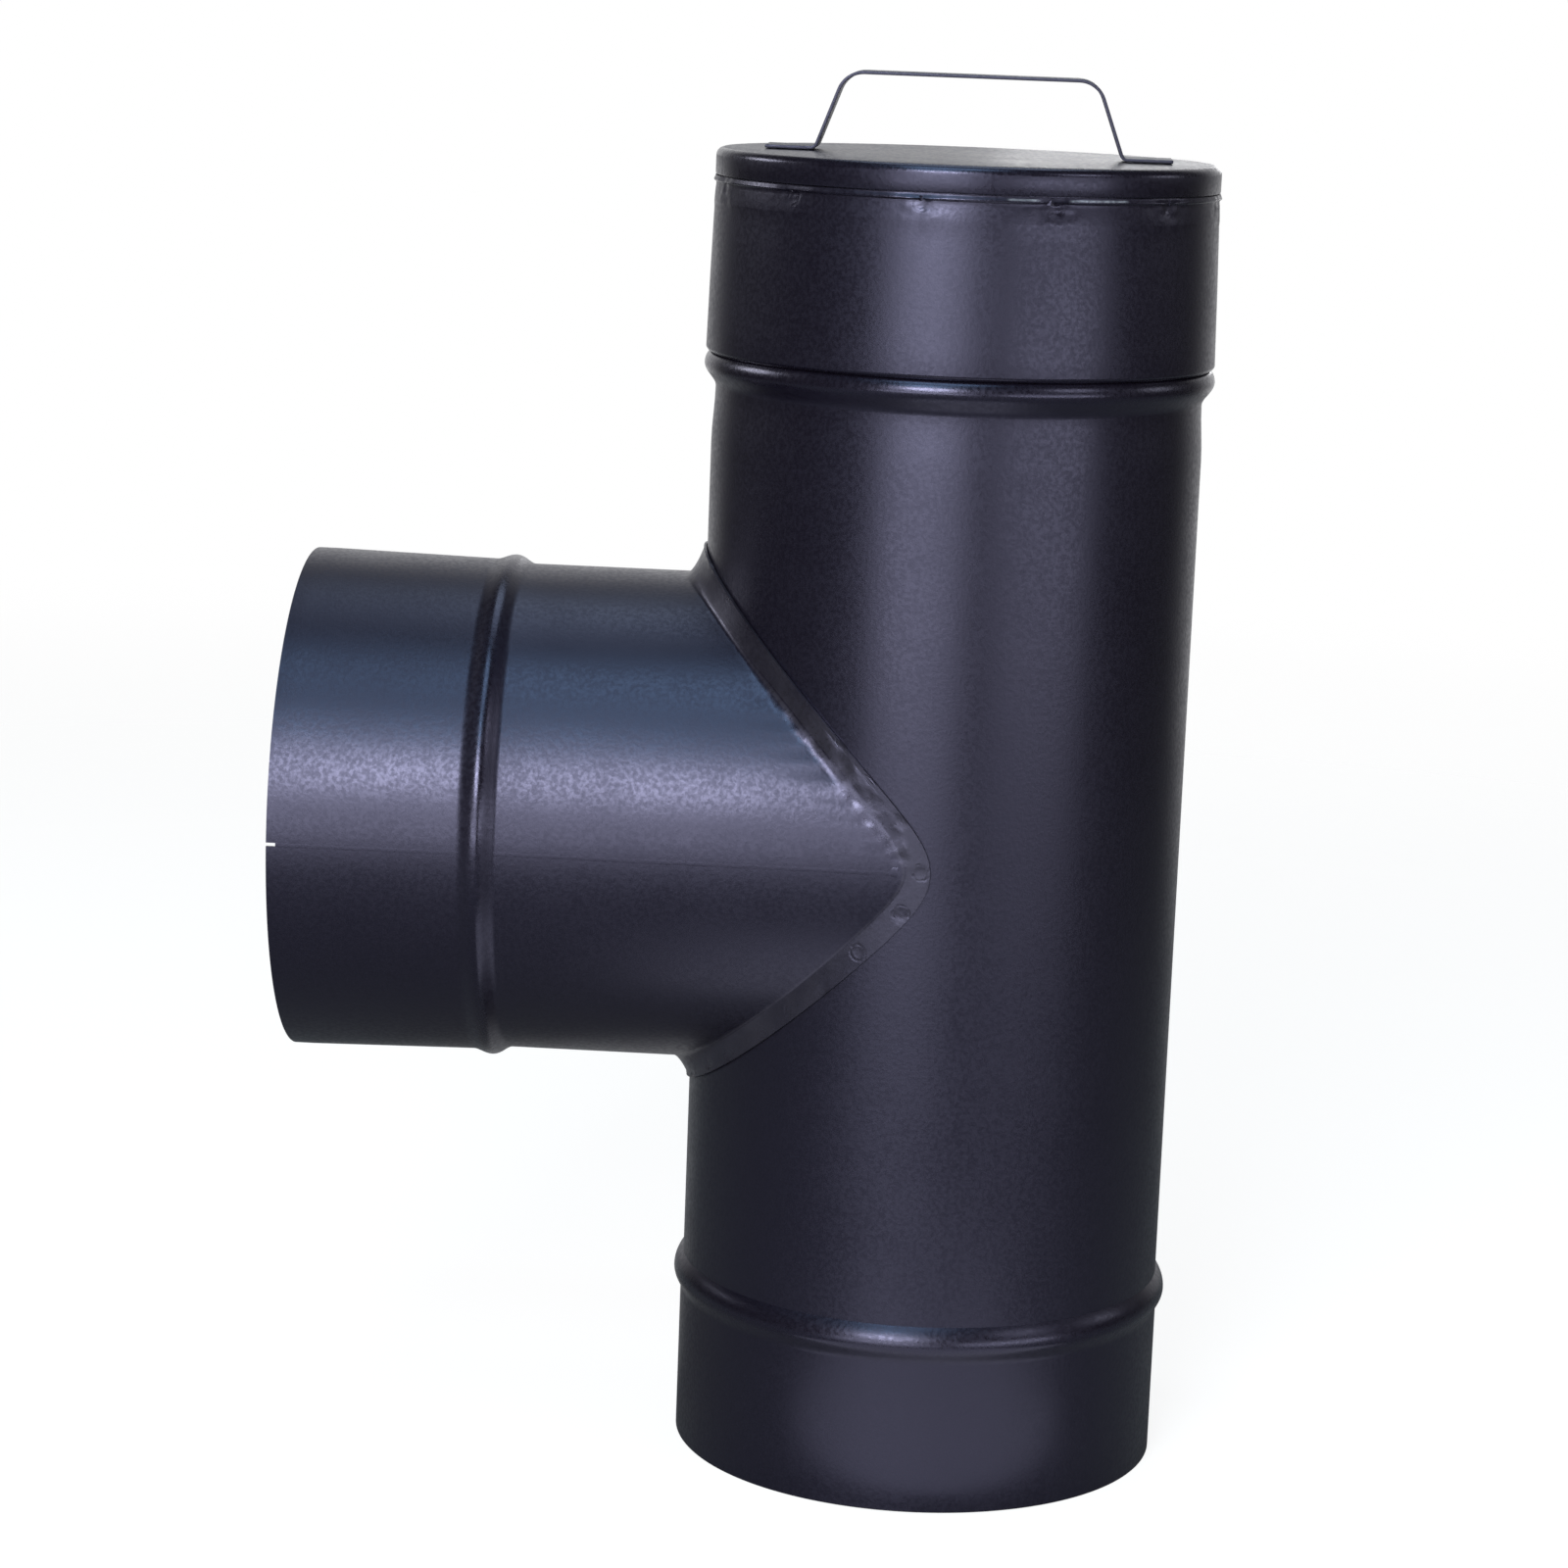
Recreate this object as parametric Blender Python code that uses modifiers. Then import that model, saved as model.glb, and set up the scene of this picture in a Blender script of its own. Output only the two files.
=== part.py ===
"""Stove pipe tee: a rolled sheet steel pipe with a saddle branch and a lift-off cap.

Metres, +Z up. The pipe stands on its lower end, the branch points along -X and the strap
handle of the cap runs along X. The origin lies on the floor, midway between the branch mouth
and the far side of the pipe.
"""
import math

import bmesh
import bpy
from mathutils import Matrix

# Sheet, fits and fineness
SHEET = 0.0008                  # wall of the rolled pipes, the skirt and the lid
CLEARANCE = 0.0003              # gap between parts that touch or slide in each other
PIPE_SEGMENTS = 64              # facets round the pipe and the cap
BRANCH_SEGMENTS = 80            # facets round the branch, a multiple of four
CURVE_STEPS = 3                 # steps in each flank of a bead and in each small bend
MERGE = 0.00001                 # points closer than this are one point

# Main pipe
PIPE_RADIUS = 0.0750            # outside
LOWER_ARM = 0.1960              # lower end to branch axis
UPPER_ARM = 0.1960              # branch axis to upper end
LOWER_END_OVERSIZE = 0.0006     # the lower end is rolled out by this below its bead
LOWER_BEAD_HEIGHT = 0.0525      # lower end to the middle of the lower bead
SPIGOT_LENGTH = 0.0538          # middle of the upper bead to the upper end
BEAD_RISE = 0.0028
BEAD_WIDTH = 0.0120
SPIGOT_LEAD = 0.0020            # straight spigot below the lid's flange

# Branch
BRANCH_REACH = 0.1975           # pipe axis to the branch mouth
SADDLE_WIDTH = 0.0070           # flange that lies on the pipe, across its run
SADDLE_CROWN = 0.0030           # how much wider the flange is at the top of the branch
SADDLE_BEND = 0.0015            # setback of the bend on each side of the crease
CROTCH_SETBACK = 0.0048         # setback on the branch where it meets the pipe square
CROTCH_SLOPE = 0.8              # how far the bend is drawn straight there, 1 for all the way
FLANGE_SEAT = 0.0010            # outer rim of the flange that always lies on the pipe
CREASE_TIP = 0.0078             # how far the crease stays in front of the pipe axis
HOLE_MARGIN = 0.0030            # pipe wall left standing inside the bore of the branch
SOCKET_LENGTH = 0.0620          # mouth to the middle of the branch bead
SOCKET_OVERSIZE = 0.0011        # radius of the socket over the branch, next to its bead
MOUTH_OVERSIZE = 0.0021         # radius of the mouth over the branch
MOUTH_STRAIGHT = 0.0060         # the last of the socket, which is not tapered
BRANCH_BEAD_RISE = 0.0026
NOTCH_DEPTH = 0.0028            # open end of the lengthwise seam, at the mouth
NOTCH_WIDTH = 0.0011

# Cap
HEADROOM = 0.0115               # upper end of the pipe to the underside of the lid
LID_RIM = 0.0080                # rim of the lid above the joint with the skirt
LID_CORNER = 0.0025
LAP_LENGTH = 0.0140             # flange of the lid inside the skirt
SPIGOT_PLAY = 0.0004            # radial gap between the spigot and the lid's flange
SKIRT_OVERSIZE = 0.0014         # outside of the skirt over the pipe, at the joint
SKIRT_FLARE = 0.0011            # further widening of the skirt down to its lip
SKIRT_STRAIGHT = 0.0020
LIP_HEIGHT = 0.0026             # the lower edge of the skirt curls in over this height
LIP_CURL = 0.0013

# Handle
HANDLE_THICKNESS = 0.0010
HANDLE_WIDTH = 0.0200
HANDLE_HEIGHT = 0.0242          # lid to the top of the strap
HANDLE_HALF_TOP = 0.0378        # middle to the corner at the top
HANDLE_HALF_BASE = 0.0463       # middle to the corner at the foot
FOOT_LENGTH = 0.0150
HANDLE_TOP_BEND = 0.0080        # centreline radii
HANDLE_FOOT_BEND = 0.0020

# Places that follow from the sizes above
PIPE_LENGTH = LOWER_ARM + UPPER_ARM
UPPER_BEAD_HEIGHT = PIPE_LENGTH - SPIGOT_LENGTH
BEAD_RADIUS = PIPE_RADIUS + BEAD_RISE
SKIRT_TOP_RADIUS = PIPE_RADIUS + SKIRT_OVERSIZE
SKIRT_FOOT_RADIUS = SKIRT_TOP_RADIUS + SKIRT_FLARE
LIP_RADIUS = SKIRT_FOOT_RADIUS - LIP_CURL
FLANGE_RADIUS = SKIRT_TOP_RADIUS - SHEET - CLEARANCE
SPIGOT_RADIUS = FLANGE_RADIUS - SHEET - SPIGOT_PLAY
LID_TOP = PIPE_LENGTH + HEADROOM + SHEET
JOINT_HEIGHT = LID_TOP - LID_RIM
SADDLE_RADIUS = PIPE_RADIUS + CLEARANCE + SHEET / 2
BRANCH_MIDDLE = math.sqrt(SADDLE_RADIUS ** 2 - CREASE_TIP ** 2)
BRANCH_BORE = BRANCH_MIDDLE - SHEET / 2
PIPE_AXIS_X = (BRANCH_REACH - max(BEAD_RADIUS, SKIRT_FOOT_RADIUS)) / 2

# Finish: heat resistant paint, black with a cool cast
PAINT_COLOUR = (0.022, 0.022, 0.032, 1.0)
STRAP_COLOUR = (0.045, 0.045, 0.050, 1.0)


def collection(name):
    """Adds an empty collection to the scene."""
    made = bpy.data.collections.new(name)
    bpy.context.scene.collection.children.link(made)
    return made


def painted(name, colour, roughness):
    """Makes the finish of one sub-part."""
    material = bpy.data.materials.new(name)
    material.use_nodes = True
    shader = material.node_tree.nodes["Principled BSDF"]
    shader.inputs["Base Color"].default_value = colour
    shader.inputs["Roughness"].default_value = roughness
    shader.inputs["Metallic"].default_value = 0.0
    return material


def frame(name, place, group):
    """Adds an empty that carries the sub-parts of one body."""
    empty = bpy.data.objects.new(name, None)
    empty.location = place
    group.objects.link(empty)
    return empty


def add_part(name, mesh, parent, group, colour=PAINT_COLOUR, roughness=0.45):
    """Adds a sub-part with its own finish, in the frame of its body."""
    part = bpy.data.objects.new(name, mesh)
    part.parent = parent
    mesh.materials.append(painted(name + "_finish", colour, roughness))
    group.objects.link(part)
    return part


def add_cutter(name, parent, group):
    """Turns the active primitive into a hidden cutter in the frame of a body."""
    cutter = bpy.context.object
    cutter.name = name
    cutter.parent = parent
    cutter.hide_render = True
    cutter.display_type = "WIRE"
    for owner in list(cutter.users_collection):
        owner.objects.unlink(cutter)
    group.objects.link(cutter)
    return cutter


def cut(part, cutter):
    """Takes the cutter's volume out of the part."""
    boolean = part.modifiers.new("cut_" + cutter.name, "BOOLEAN")
    boolean.operation = "DIFFERENCE"
    boolean.solver = "EXACT"
    boolean.object = cutter


def bead(middle, half_width, peak, before, after):
    """Points of a rolled bead as (radius, distance) pairs, along rising distance.

    The flanks are half waves from the radii before and after it up to its peak.
    """
    points = []
    for step in range(-CURVE_STEPS, CURVE_STEPS + 1):
        share = step / CURVE_STEPS
        base = before if share < 0 else after
        rise = (peak - base) * (1 + math.cos(math.pi * share)) / 2
        points.append((base + rise, middle + share * half_width))
    return points


def seat_above_bead(radius):
    """Distance above a bead's middle at which its upper flank has this radius."""
    share = math.acos(max(-1.0, min(1.0, 2 * (radius - PIPE_RADIUS) / BEAD_RISE - 1))) / math.pi
    return share * BEAD_WIDTH / 2


def turned_shell(name, outline, parent, group):
    """Turns an outline of (radius, height) points, outer side downwards, into a sheet shell."""
    mesh = bpy.data.meshes.new(name)
    points = [(radius, 0.0, height) for radius, height in outline]
    mesh.from_pydata(points, [(i, i + 1) for i in range(len(points) - 1)], [])
    part = add_part(name, mesh, parent, group)
    screw = part.modifiers.new("turn", "SCREW")
    screw.axis = "Z"
    screw.steps = PIPE_SEGMENTS
    screw.render_steps = PIPE_SEGMENTS
    screw.use_merge_vertices = True
    screw.merge_threshold = MERGE
    screw.use_smooth_shade = True
    wall(part, SHEET, -1.0)
    return part


def wall(part, thickness, offset):
    """Gives an open surface its sheet thickness."""
    solidify = part.modifiers.new("wall", "SOLIDIFY")
    solidify.thickness = thickness
    solidify.offset = offset
    solidify.use_even_offset = True


def pipe_outline():
    """Outside of the main pipe from its upper end to its lower end."""
    half = BEAD_WIDTH / 2
    lower_end = PIPE_RADIUS + LOWER_END_OVERSIZE
    upper = bead(UPPER_BEAD_HEIGHT, half, BEAD_RADIUS, PIPE_RADIUS, PIPE_RADIUS)
    lower = bead(LOWER_BEAD_HEIGHT, half, BEAD_RADIUS, lower_end, PIPE_RADIUS)
    spigot_foot = JOINT_HEIGHT - LAP_LENGTH - SPIGOT_LEAD
    outline = [(SPIGOT_RADIUS, PIPE_LENGTH), (SPIGOT_RADIUS, spigot_foot)]
    outline += upper[::-1] + lower[::-1]
    return outline + [(lower_end, 0.0)]


def branch_outline():
    """Middle of the branch's sheet from its mouth inwards, as (radius, distance to pipe axis)."""
    socket = BRANCH_MIDDLE + SOCKET_OVERSIZE
    mouth = BRANCH_MIDDLE + MOUTH_OVERSIZE
    peak = BRANCH_MIDDLE + BRANCH_BEAD_RISE
    middle = BRANCH_REACH - SOCKET_LENGTH
    ring = bead(middle, BEAD_WIDTH / 2, peak, BRANCH_MIDDLE, socket)
    return [(mouth, BRANCH_REACH), (mouth, BRANCH_REACH - MOUTH_STRAIGHT)] + ring[::-1]


def crease_point(turn):
    """Crease between branch and saddle, unrolled from the pipe: arc, height and outward normal."""
    side = BRANCH_MIDDLE * math.sin(turn)
    lean = math.asin(side / SADDLE_RADIUS)
    normal_arc = math.sin(turn)
    normal_up = math.cos(turn) / math.cos(lean)
    size = math.hypot(normal_arc, normal_up)
    return (SADDLE_RADIUS * lean, BRANCH_MIDDLE * math.cos(turn), normal_arc / size, normal_up / size)


def saddle_point(turn, distance):
    """Point of the saddle flange at a distance outside the crease, wrapped round the pipe."""
    arc, up, normal_arc, normal_up = crease_point(turn)
    lean = (arc + distance * normal_arc) / SADDLE_RADIUS
    height = LOWER_ARM + up + distance * normal_up
    return (-SADDLE_RADIUS * math.cos(lean), SADDLE_RADIUS * math.sin(lean), height)


def branch_row(radius, distance):
    """One ring of the round part of the branch."""
    ring = []
    for step in range(BRANCH_SEGMENTS):
        turn = 2 * math.pi * step / BRANCH_SEGMENTS
        ring.append((-distance, radius * math.sin(turn), LOWER_ARM + radius * math.cos(turn)))
    return ring


def flange_width(turn):
    """Width of the saddle flange at an angle about the branch, most at the top."""
    return SADDLE_WIDTH + SADDLE_CROWN * max(0.0, math.cos(turn)) ** 4


def bend_row(share):
    """One ring of the bend from the branch wall (share 0) to the saddle flange (share 1).

    The bend is tight along the front and the back, and a long slope above and below.
    """
    ring = []
    for step in range(BRANCH_SEGMENTS):
        turn = 2 * math.pi * step / BRANCH_SEGMENTS
        square = math.cos(turn) ** 4
        corner = saddle_point(turn, 0.0)
        setback = SADDLE_BEND + (CROTCH_SETBACK - SADDLE_BEND) * square
        start = (corner[0] - setback, corner[1], corner[2])
        end = saddle_point(turn, SADDLE_BEND + (flange_width(turn) - FLANGE_SEAT - SADDLE_BEND) * square)
        slope = CROTCH_SLOPE * square
        knee = [c + ((s + e) / 2 - c) * slope for s, c, e in zip(start, corner, end)]
        weights = ((1 - share) ** 2, 2 * share * (1 - share), share ** 2)
        ring.append(tuple(sum(w * p[i] for w, p in zip(weights, (start, knee, end))) for i in range(3)))
    return ring


def branch_mesh():
    """Loft of the branch: round rings, then the bend, then the saddle flange."""
    rows = [branch_row(radius, distance) for radius, distance in branch_outline()]
    rows += [bend_row(step / (CURVE_STEPS + 1)) for step in range(CURVE_STEPS + 2)]
    turns = [2 * math.pi * step / BRANCH_SEGMENTS for step in range(BRANCH_SEGMENTS)]
    rows.append([saddle_point(turn, flange_width(turn)) for turn in turns])
    loft = bmesh.new()
    rings = [[loft.verts.new(point) for point in row] for row in rows]
    for near, far in zip(rings, rings[1:]):
        for i in range(BRANCH_SEGMENTS):
            j = (i + 1) % BRANCH_SEGMENTS
            loft.faces.new((near[i], near[j], far[j], far[i]))
    bmesh.ops.recalc_face_normals(loft, faces=loft.faces)
    mesh = bpy.data.meshes.new("branch_pipe")
    loft.to_mesh(mesh)
    loft.free()
    mesh.shade_smooth()
    return mesh


def rounded_path(corners, radii):
    """Replaces each inner corner of a path by an arc of its own radius."""
    path = [corners[0]]
    for before, corner, after, radius in zip(corners, corners[1:], corners[2:], radii):
        to_before = math.atan2(before[1] - corner[1], before[0] - corner[0])
        to_after = math.atan2(after[1] - corner[1], after[0] - corner[0])
        opening = (to_after - to_before + math.pi) % (2 * math.pi) - math.pi
        half = abs(opening) / 2
        reach = radius / math.sin(half)
        middle = to_before + opening / 2
        centre = (corner[0] + reach * math.cos(middle), corner[1] + reach * math.sin(middle))
        swing = math.copysign(math.pi / 2 - half, opening)
        for step in range(-CURVE_STEPS, CURVE_STEPS + 1):
            angle = middle + math.pi - swing * step / CURVE_STEPS
            path.append((centre[0] + radius * math.cos(angle), centre[1] + radius * math.sin(angle)))
    return path + [corners[-1]]


def handle_mesh():
    """Middle surface of the strap handle, from one foot over the top to the other."""
    foot_level = LID_TOP + CLEARANCE + HANDLE_THICKNESS / 2
    top_level = LID_TOP + HANDLE_HEIGHT - HANDLE_THICKNESS / 2
    half = [(HANDLE_HALF_BASE + FOOT_LENGTH, foot_level), (HANDLE_HALF_BASE, foot_level)]
    half.append((HANDLE_HALF_TOP, top_level))
    corners = [(-x, z) for x, z in half] + half[::-1]
    bends = [HANDLE_FOOT_BEND, HANDLE_TOP_BEND, HANDLE_TOP_BEND, HANDLE_FOOT_BEND]
    path = rounded_path(corners, bends)
    strip = bmesh.new()
    edges = [[strip.verts.new((x, side * HANDLE_WIDTH / 2, z)) for x, z in path] for side in (-1, 1)]
    for i in range(len(path) - 1):
        strip.faces.new((edges[0][i], edges[0][i + 1], edges[1][i + 1], edges[1][i]))
    mesh = bpy.data.meshes.new("cap_handle")
    strip.to_mesh(mesh)
    strip.free()
    mesh.shade_smooth()
    return mesh


def lid_outline():
    """Outside of the lid from its middle over the rim down to the end of the inner flange."""
    outline = [(0.0, LID_TOP)]
    for step in range(CURVE_STEPS + 1):
        angle = math.pi / 2 * (1 - step / CURVE_STEPS)
        radius = SKIRT_TOP_RADIUS - LID_CORNER + LID_CORNER * math.cos(angle)
        outline.append((radius, LID_TOP - LID_CORNER + LID_CORNER * math.sin(angle)))
    outline += [(SKIRT_TOP_RADIUS, JOINT_HEIGHT), (FLANGE_RADIUS, JOINT_HEIGHT)]
    return outline + [(FLANGE_RADIUS, JOINT_HEIGHT - LAP_LENGTH)]


def skirt_outline():
    """Outside of the skirt from the joint with the lid down to its lip on the bead."""
    top = JOINT_HEIGHT - CLEARANCE
    bottom = UPPER_BEAD_HEIGHT + seat_above_bead(LIP_RADIUS - SHEET) + CLEARANCE
    return [(SKIRT_TOP_RADIUS, top), (SKIRT_TOP_RADIUS, top - SKIRT_STRAIGHT),
            (SKIRT_FOOT_RADIUS, bottom + LIP_HEIGHT),
            (SKIRT_FOOT_RADIUS - LIP_CURL / 4, bottom + LIP_HEIGHT / 2), (LIP_RADIUS, bottom)]


def add_main_pipe(tee, parts, cutters):
    """Rolled pipe with two beads and the hole for the branch."""
    pipe = turned_shell("main_pipe", pipe_outline(), tee, parts)
    bpy.ops.mesh.primitive_cylinder_add(
        vertices=PIPE_SEGMENTS, radius=BRANCH_BORE - HOLE_MARGIN, depth=BEAD_RADIUS,
        location=(-BEAD_RADIUS / 2, 0.0, LOWER_ARM), rotation=(0.0, -math.pi / 2, 0.0))
    cut(pipe, add_cutter("branch_hole", tee, cutters))


def add_branch_pipe(tee, parts, cutters):
    """Rolled branch with its bead, socket, seam notch and the saddle folded from its own sheet."""
    branch = add_part("branch_pipe", branch_mesh(), tee, parts)
    wall(branch, SHEET, 0.0)
    mouth = BRANCH_MIDDLE + MOUTH_OVERSIZE
    bpy.ops.mesh.primitive_cube_add(size=1.0, location=(-BRANCH_REACH, -mouth, LOWER_ARM))
    bpy.context.object.data.transform(Matrix.Diagonal((2 * NOTCH_DEPTH, 4 * SHEET, NOTCH_WIDTH, 1.0)))
    cut(branch, add_cutter("seam_notch", tee, cutters))


def main():
    """Builds the tee."""
    for old in list(bpy.data.objects):
        bpy.data.objects.remove(old, do_unlink=True)
    parts = collection("stove_pipe_tee")
    cutters = collection("cutters")
    tee = frame("tee_frame", (PIPE_AXIS_X, 0.0, 0.0), parts)
    cap = frame("cap_frame", (PIPE_AXIS_X, 0.0, 0.0), parts)
    add_main_pipe(tee, parts, cutters)
    add_branch_pipe(tee, parts, cutters)
    turned_shell("cap_skirt", skirt_outline(), cap, parts)
    turned_shell("cap_disc", lid_outline(), cap, parts)
    handle = add_part("cap_handle", handle_mesh(), cap, parts, STRAP_COLOUR, 0.5)
    wall(handle, HANDLE_THICKNESS, 0.0)


main()
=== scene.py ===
"""Looks of a stove pipe tee: rolled pipe, saddle branch and a lift-off cap with a strap handle.

Metres, +Z up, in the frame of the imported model. The pipe stands on the floor, the branch points
along -X and the camera looks about along +Y. Every visible sheet is made again here at a finer
grain than the frame's solids, in the same place and at the same size.
"""
import logging
import math
from dataclasses import dataclass, field
from enum import Enum

import bmesh
import bpy
import numpy as np
from mathutils import Matrix, Vector


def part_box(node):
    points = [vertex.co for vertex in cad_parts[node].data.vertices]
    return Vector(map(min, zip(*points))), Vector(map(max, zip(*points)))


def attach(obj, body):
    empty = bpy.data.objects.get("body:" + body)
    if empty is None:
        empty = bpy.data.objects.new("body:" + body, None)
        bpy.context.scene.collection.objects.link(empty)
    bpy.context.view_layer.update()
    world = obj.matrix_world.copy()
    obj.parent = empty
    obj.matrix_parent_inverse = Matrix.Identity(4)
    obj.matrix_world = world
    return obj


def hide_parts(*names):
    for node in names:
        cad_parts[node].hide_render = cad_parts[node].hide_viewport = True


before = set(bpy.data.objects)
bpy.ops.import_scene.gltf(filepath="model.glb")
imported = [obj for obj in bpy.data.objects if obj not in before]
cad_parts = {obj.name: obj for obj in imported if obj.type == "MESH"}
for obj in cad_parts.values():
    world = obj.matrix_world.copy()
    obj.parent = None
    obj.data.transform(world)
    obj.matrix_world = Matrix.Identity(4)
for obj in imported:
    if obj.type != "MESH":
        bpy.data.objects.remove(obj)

LOG = logging.getLogger("stove_pipe_tee")
MERGE = 0.00001
SHARP_ANGLE = 40.0
RUBBED_BEND = 0.0050
RUB_START = 0.25
# Angles of the cap edge's worn spans, where a pale line paints in their glint as a painted highlight.
CHIPPED_GLINT_SPANS = ((-67.0, -51.5), (-81.0, -73.0))
SOCKET_KINDS = {int: "Int", float: "Float"}
Span = tuple[float, float]
Outline = list[Span]
Triple = tuple[float, float, float]
Colour = tuple[float, float, float, float]
Feeds = dict[str | int, object]


class Body(Enum):
    """Bodies of the frame that pieces ride on."""

    TEE = "tee"
    CAP = "cap"


class Slot(Enum):
    """Material slots of the record."""

    PIPE = "pipe_paint"
    BRANCH = "branch_paint"
    CAP = "cap_paint"
    STRAP = "strap_paint"


class Signal:
    """One output of a node. Each sum made with it adds a math node to its tree."""

    def __init__(self, build: "NodeBuilder", socket: bpy.types.NodeSocket) -> None:
        """Holds an output.

        Args:
            build: The builder of its tree.
            socket: The output socket.
        """
        self.build = build
        self.socket = socket

    def __add__(self, other: object) -> "Signal":
        """This and another added."""
        return self.build.math("ADD", self, other)

    def __sub__(self, other: object) -> "Signal":
        """This less another."""
        return self.build.math("SUBTRACT", self, other)

    def __rsub__(self, other: float) -> "Signal":
        """A number less this."""
        return self.build.math("SUBTRACT", other, self)

    def __mul__(self, other: object) -> "Signal":
        """This times another."""
        return self.build.math("MULTIPLY", self, other)

    def __truediv__(self, other: object) -> "Signal":
        """This divided by another."""
        return self.build.math("DIVIDE", self, other)

    def __rtruediv__(self, other: float) -> "Signal":
        """A number divided by this."""
        return self.build.math("DIVIDE", other, self)

    def __abs__(self) -> "Signal":
        """This without its sign."""
        return self.build.math("ABSOLUTE", self)


class NodeBuilder:
    """Adds and joins nodes in one tree."""

    def __init__(self, tree: bpy.types.NodeTree) -> None:
        """Starts on a tree.

        Args:
            tree: The tree that the nodes go into.
        """
        self.tree = tree

    def fill(self, node: bpy.types.Node, feeds: Feeds) -> None:
        """Feeds inputs of a node.

        Args:
            node: The node.
            feeds: A signal or a plain value for each input, by its name or place.
        """
        for place, value in feeds.items():
            if isinstance(value, Signal):
                self.tree.links.new(value.socket, node.inputs[place])
            else:
                node.inputs[place].default_value = value

    def add(self, kind: str, feeds: Feeds | None = None, **settings: object) -> bpy.types.Node:
        """Adds a node.

        Args:
            kind: The node's type name.
            feeds: What goes into its inputs.
            settings: Properties that are set on it first.

        Returns:
            The new node.
        """
        node = self.tree.nodes.new(kind)
        for name, value in settings.items():
            setattr(node, name, value)
        self.fill(node, feeds or {})
        return node

    def read(self, kind: str, output: str | int, feeds: Feeds | None = None, **settings: object) -> Signal:
        """Adds a node and takes one output of it.

        Args:
            kind: The node's type name.
            output: The output's name or place.
            feeds: What goes into its inputs.
            settings: Properties that are set on it first.

        Returns:
            The output.
        """
        return Signal(self, self.add(kind, feeds, **settings).outputs[output])

    def outputs(self, kind: str, feeds: Feeds | None = None, **settings: object) -> dict[str, Signal]:
        """Adds a node, as read does, and takes all its outputs by name."""
        node = self.add(kind, feeds, **settings)
        return {socket.name: Signal(self, socket) for socket in node.outputs}

    def math(self, operation: str, *values: object) -> Signal:
        """Adds a math node.

        Args:
            operation: The operation's name.
            values: Signals or numbers, in order.

        Returns:
            The result.
        """
        return self.read("ShaderNodeMath", 0, dict(enumerate(values)), operation=operation)

    def ramp(self, value: Signal, low: object, high: object, start: object = 0.0, end: object = 1.0,
             smooth: bool = True) -> Signal:
        """Maps a range of values onto another, clamped at its ends.

        Args:
            value: What is mapped.
            low: Value that gives start.
            high: Value that gives end.
            start: Result at the low end.
            end: Result at the high end.
            smooth: True for a smooth step, False for a straight one.

        Returns:
            The result.
        """
        feeds = dict(enumerate((value, low, high, start, end)))
        step = "SMOOTHSTEP" if smooth else "LINEAR"
        return self.read("ShaderNodeMapRange", 0, feeds, interpolation_type=step)

    def noise(self, vector: Signal, size: Signal, detail: float) -> Signal:
        """Adds a noise of a given feature size.

        Args:
            vector: The coordinates.
            size: Feature size in metres.
            detail: Octaves of finer noise.

        Returns:
            The noise, about 0 to 1.
        """
        feeds = {"Vector": vector, "Scale": 1.0 / size, "Detail": detail}
        return self.read("ShaderNodeTexNoise", 0, feeds, noise_dimensions="3D")

    def mix(self, share: Signal, first: object, second: object) -> Signal:
        """Mixes two colours.

        Args:
            share: How much of the second shows.
            first: A signal or a colour.
            second: The same.

        Returns:
            The mixed colour.
        """
        return self.read("ShaderNodeMix", 2, {0: share, 6: first, 7: second}, data_type="RGBA")

    def mark(self, name: str) -> Signal:
        """Reads a number that the mesh holds, in a shader."""
        return self.read("ShaderNodeAttribute", "Fac", attribute_name=name)


class Group(NodeBuilder):
    """A node group with named sockets."""

    def __init__(self, name: str, kind: str, inputs: dict[str, object], outputs: dict[str, str]) -> None:
        """Makes the group.

        Args:
            name: The group's name.
            kind: Its tree type.
            inputs: By name, the default number or else the kind of socket.
            outputs: By name, the kind of socket.
        """
        super().__init__(bpy.data.node_groups.new(name, kind))
        for label, default in inputs.items():
            socket_kind = SOCKET_KINDS.get(type(default), default)
            socket = self.tree.interface.new_socket(
                label, in_out="INPUT", socket_type="NodeSocket" + socket_kind)
            if socket_kind != default:
                socket.default_value = default
        for label, socket_kind in outputs.items():
            self.tree.interface.new_socket(label, in_out="OUTPUT", socket_type="NodeSocket" + socket_kind)
        self.given = self.outputs("NodeGroupInput")
        self.out = self.add("NodeGroupOutput")


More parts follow.
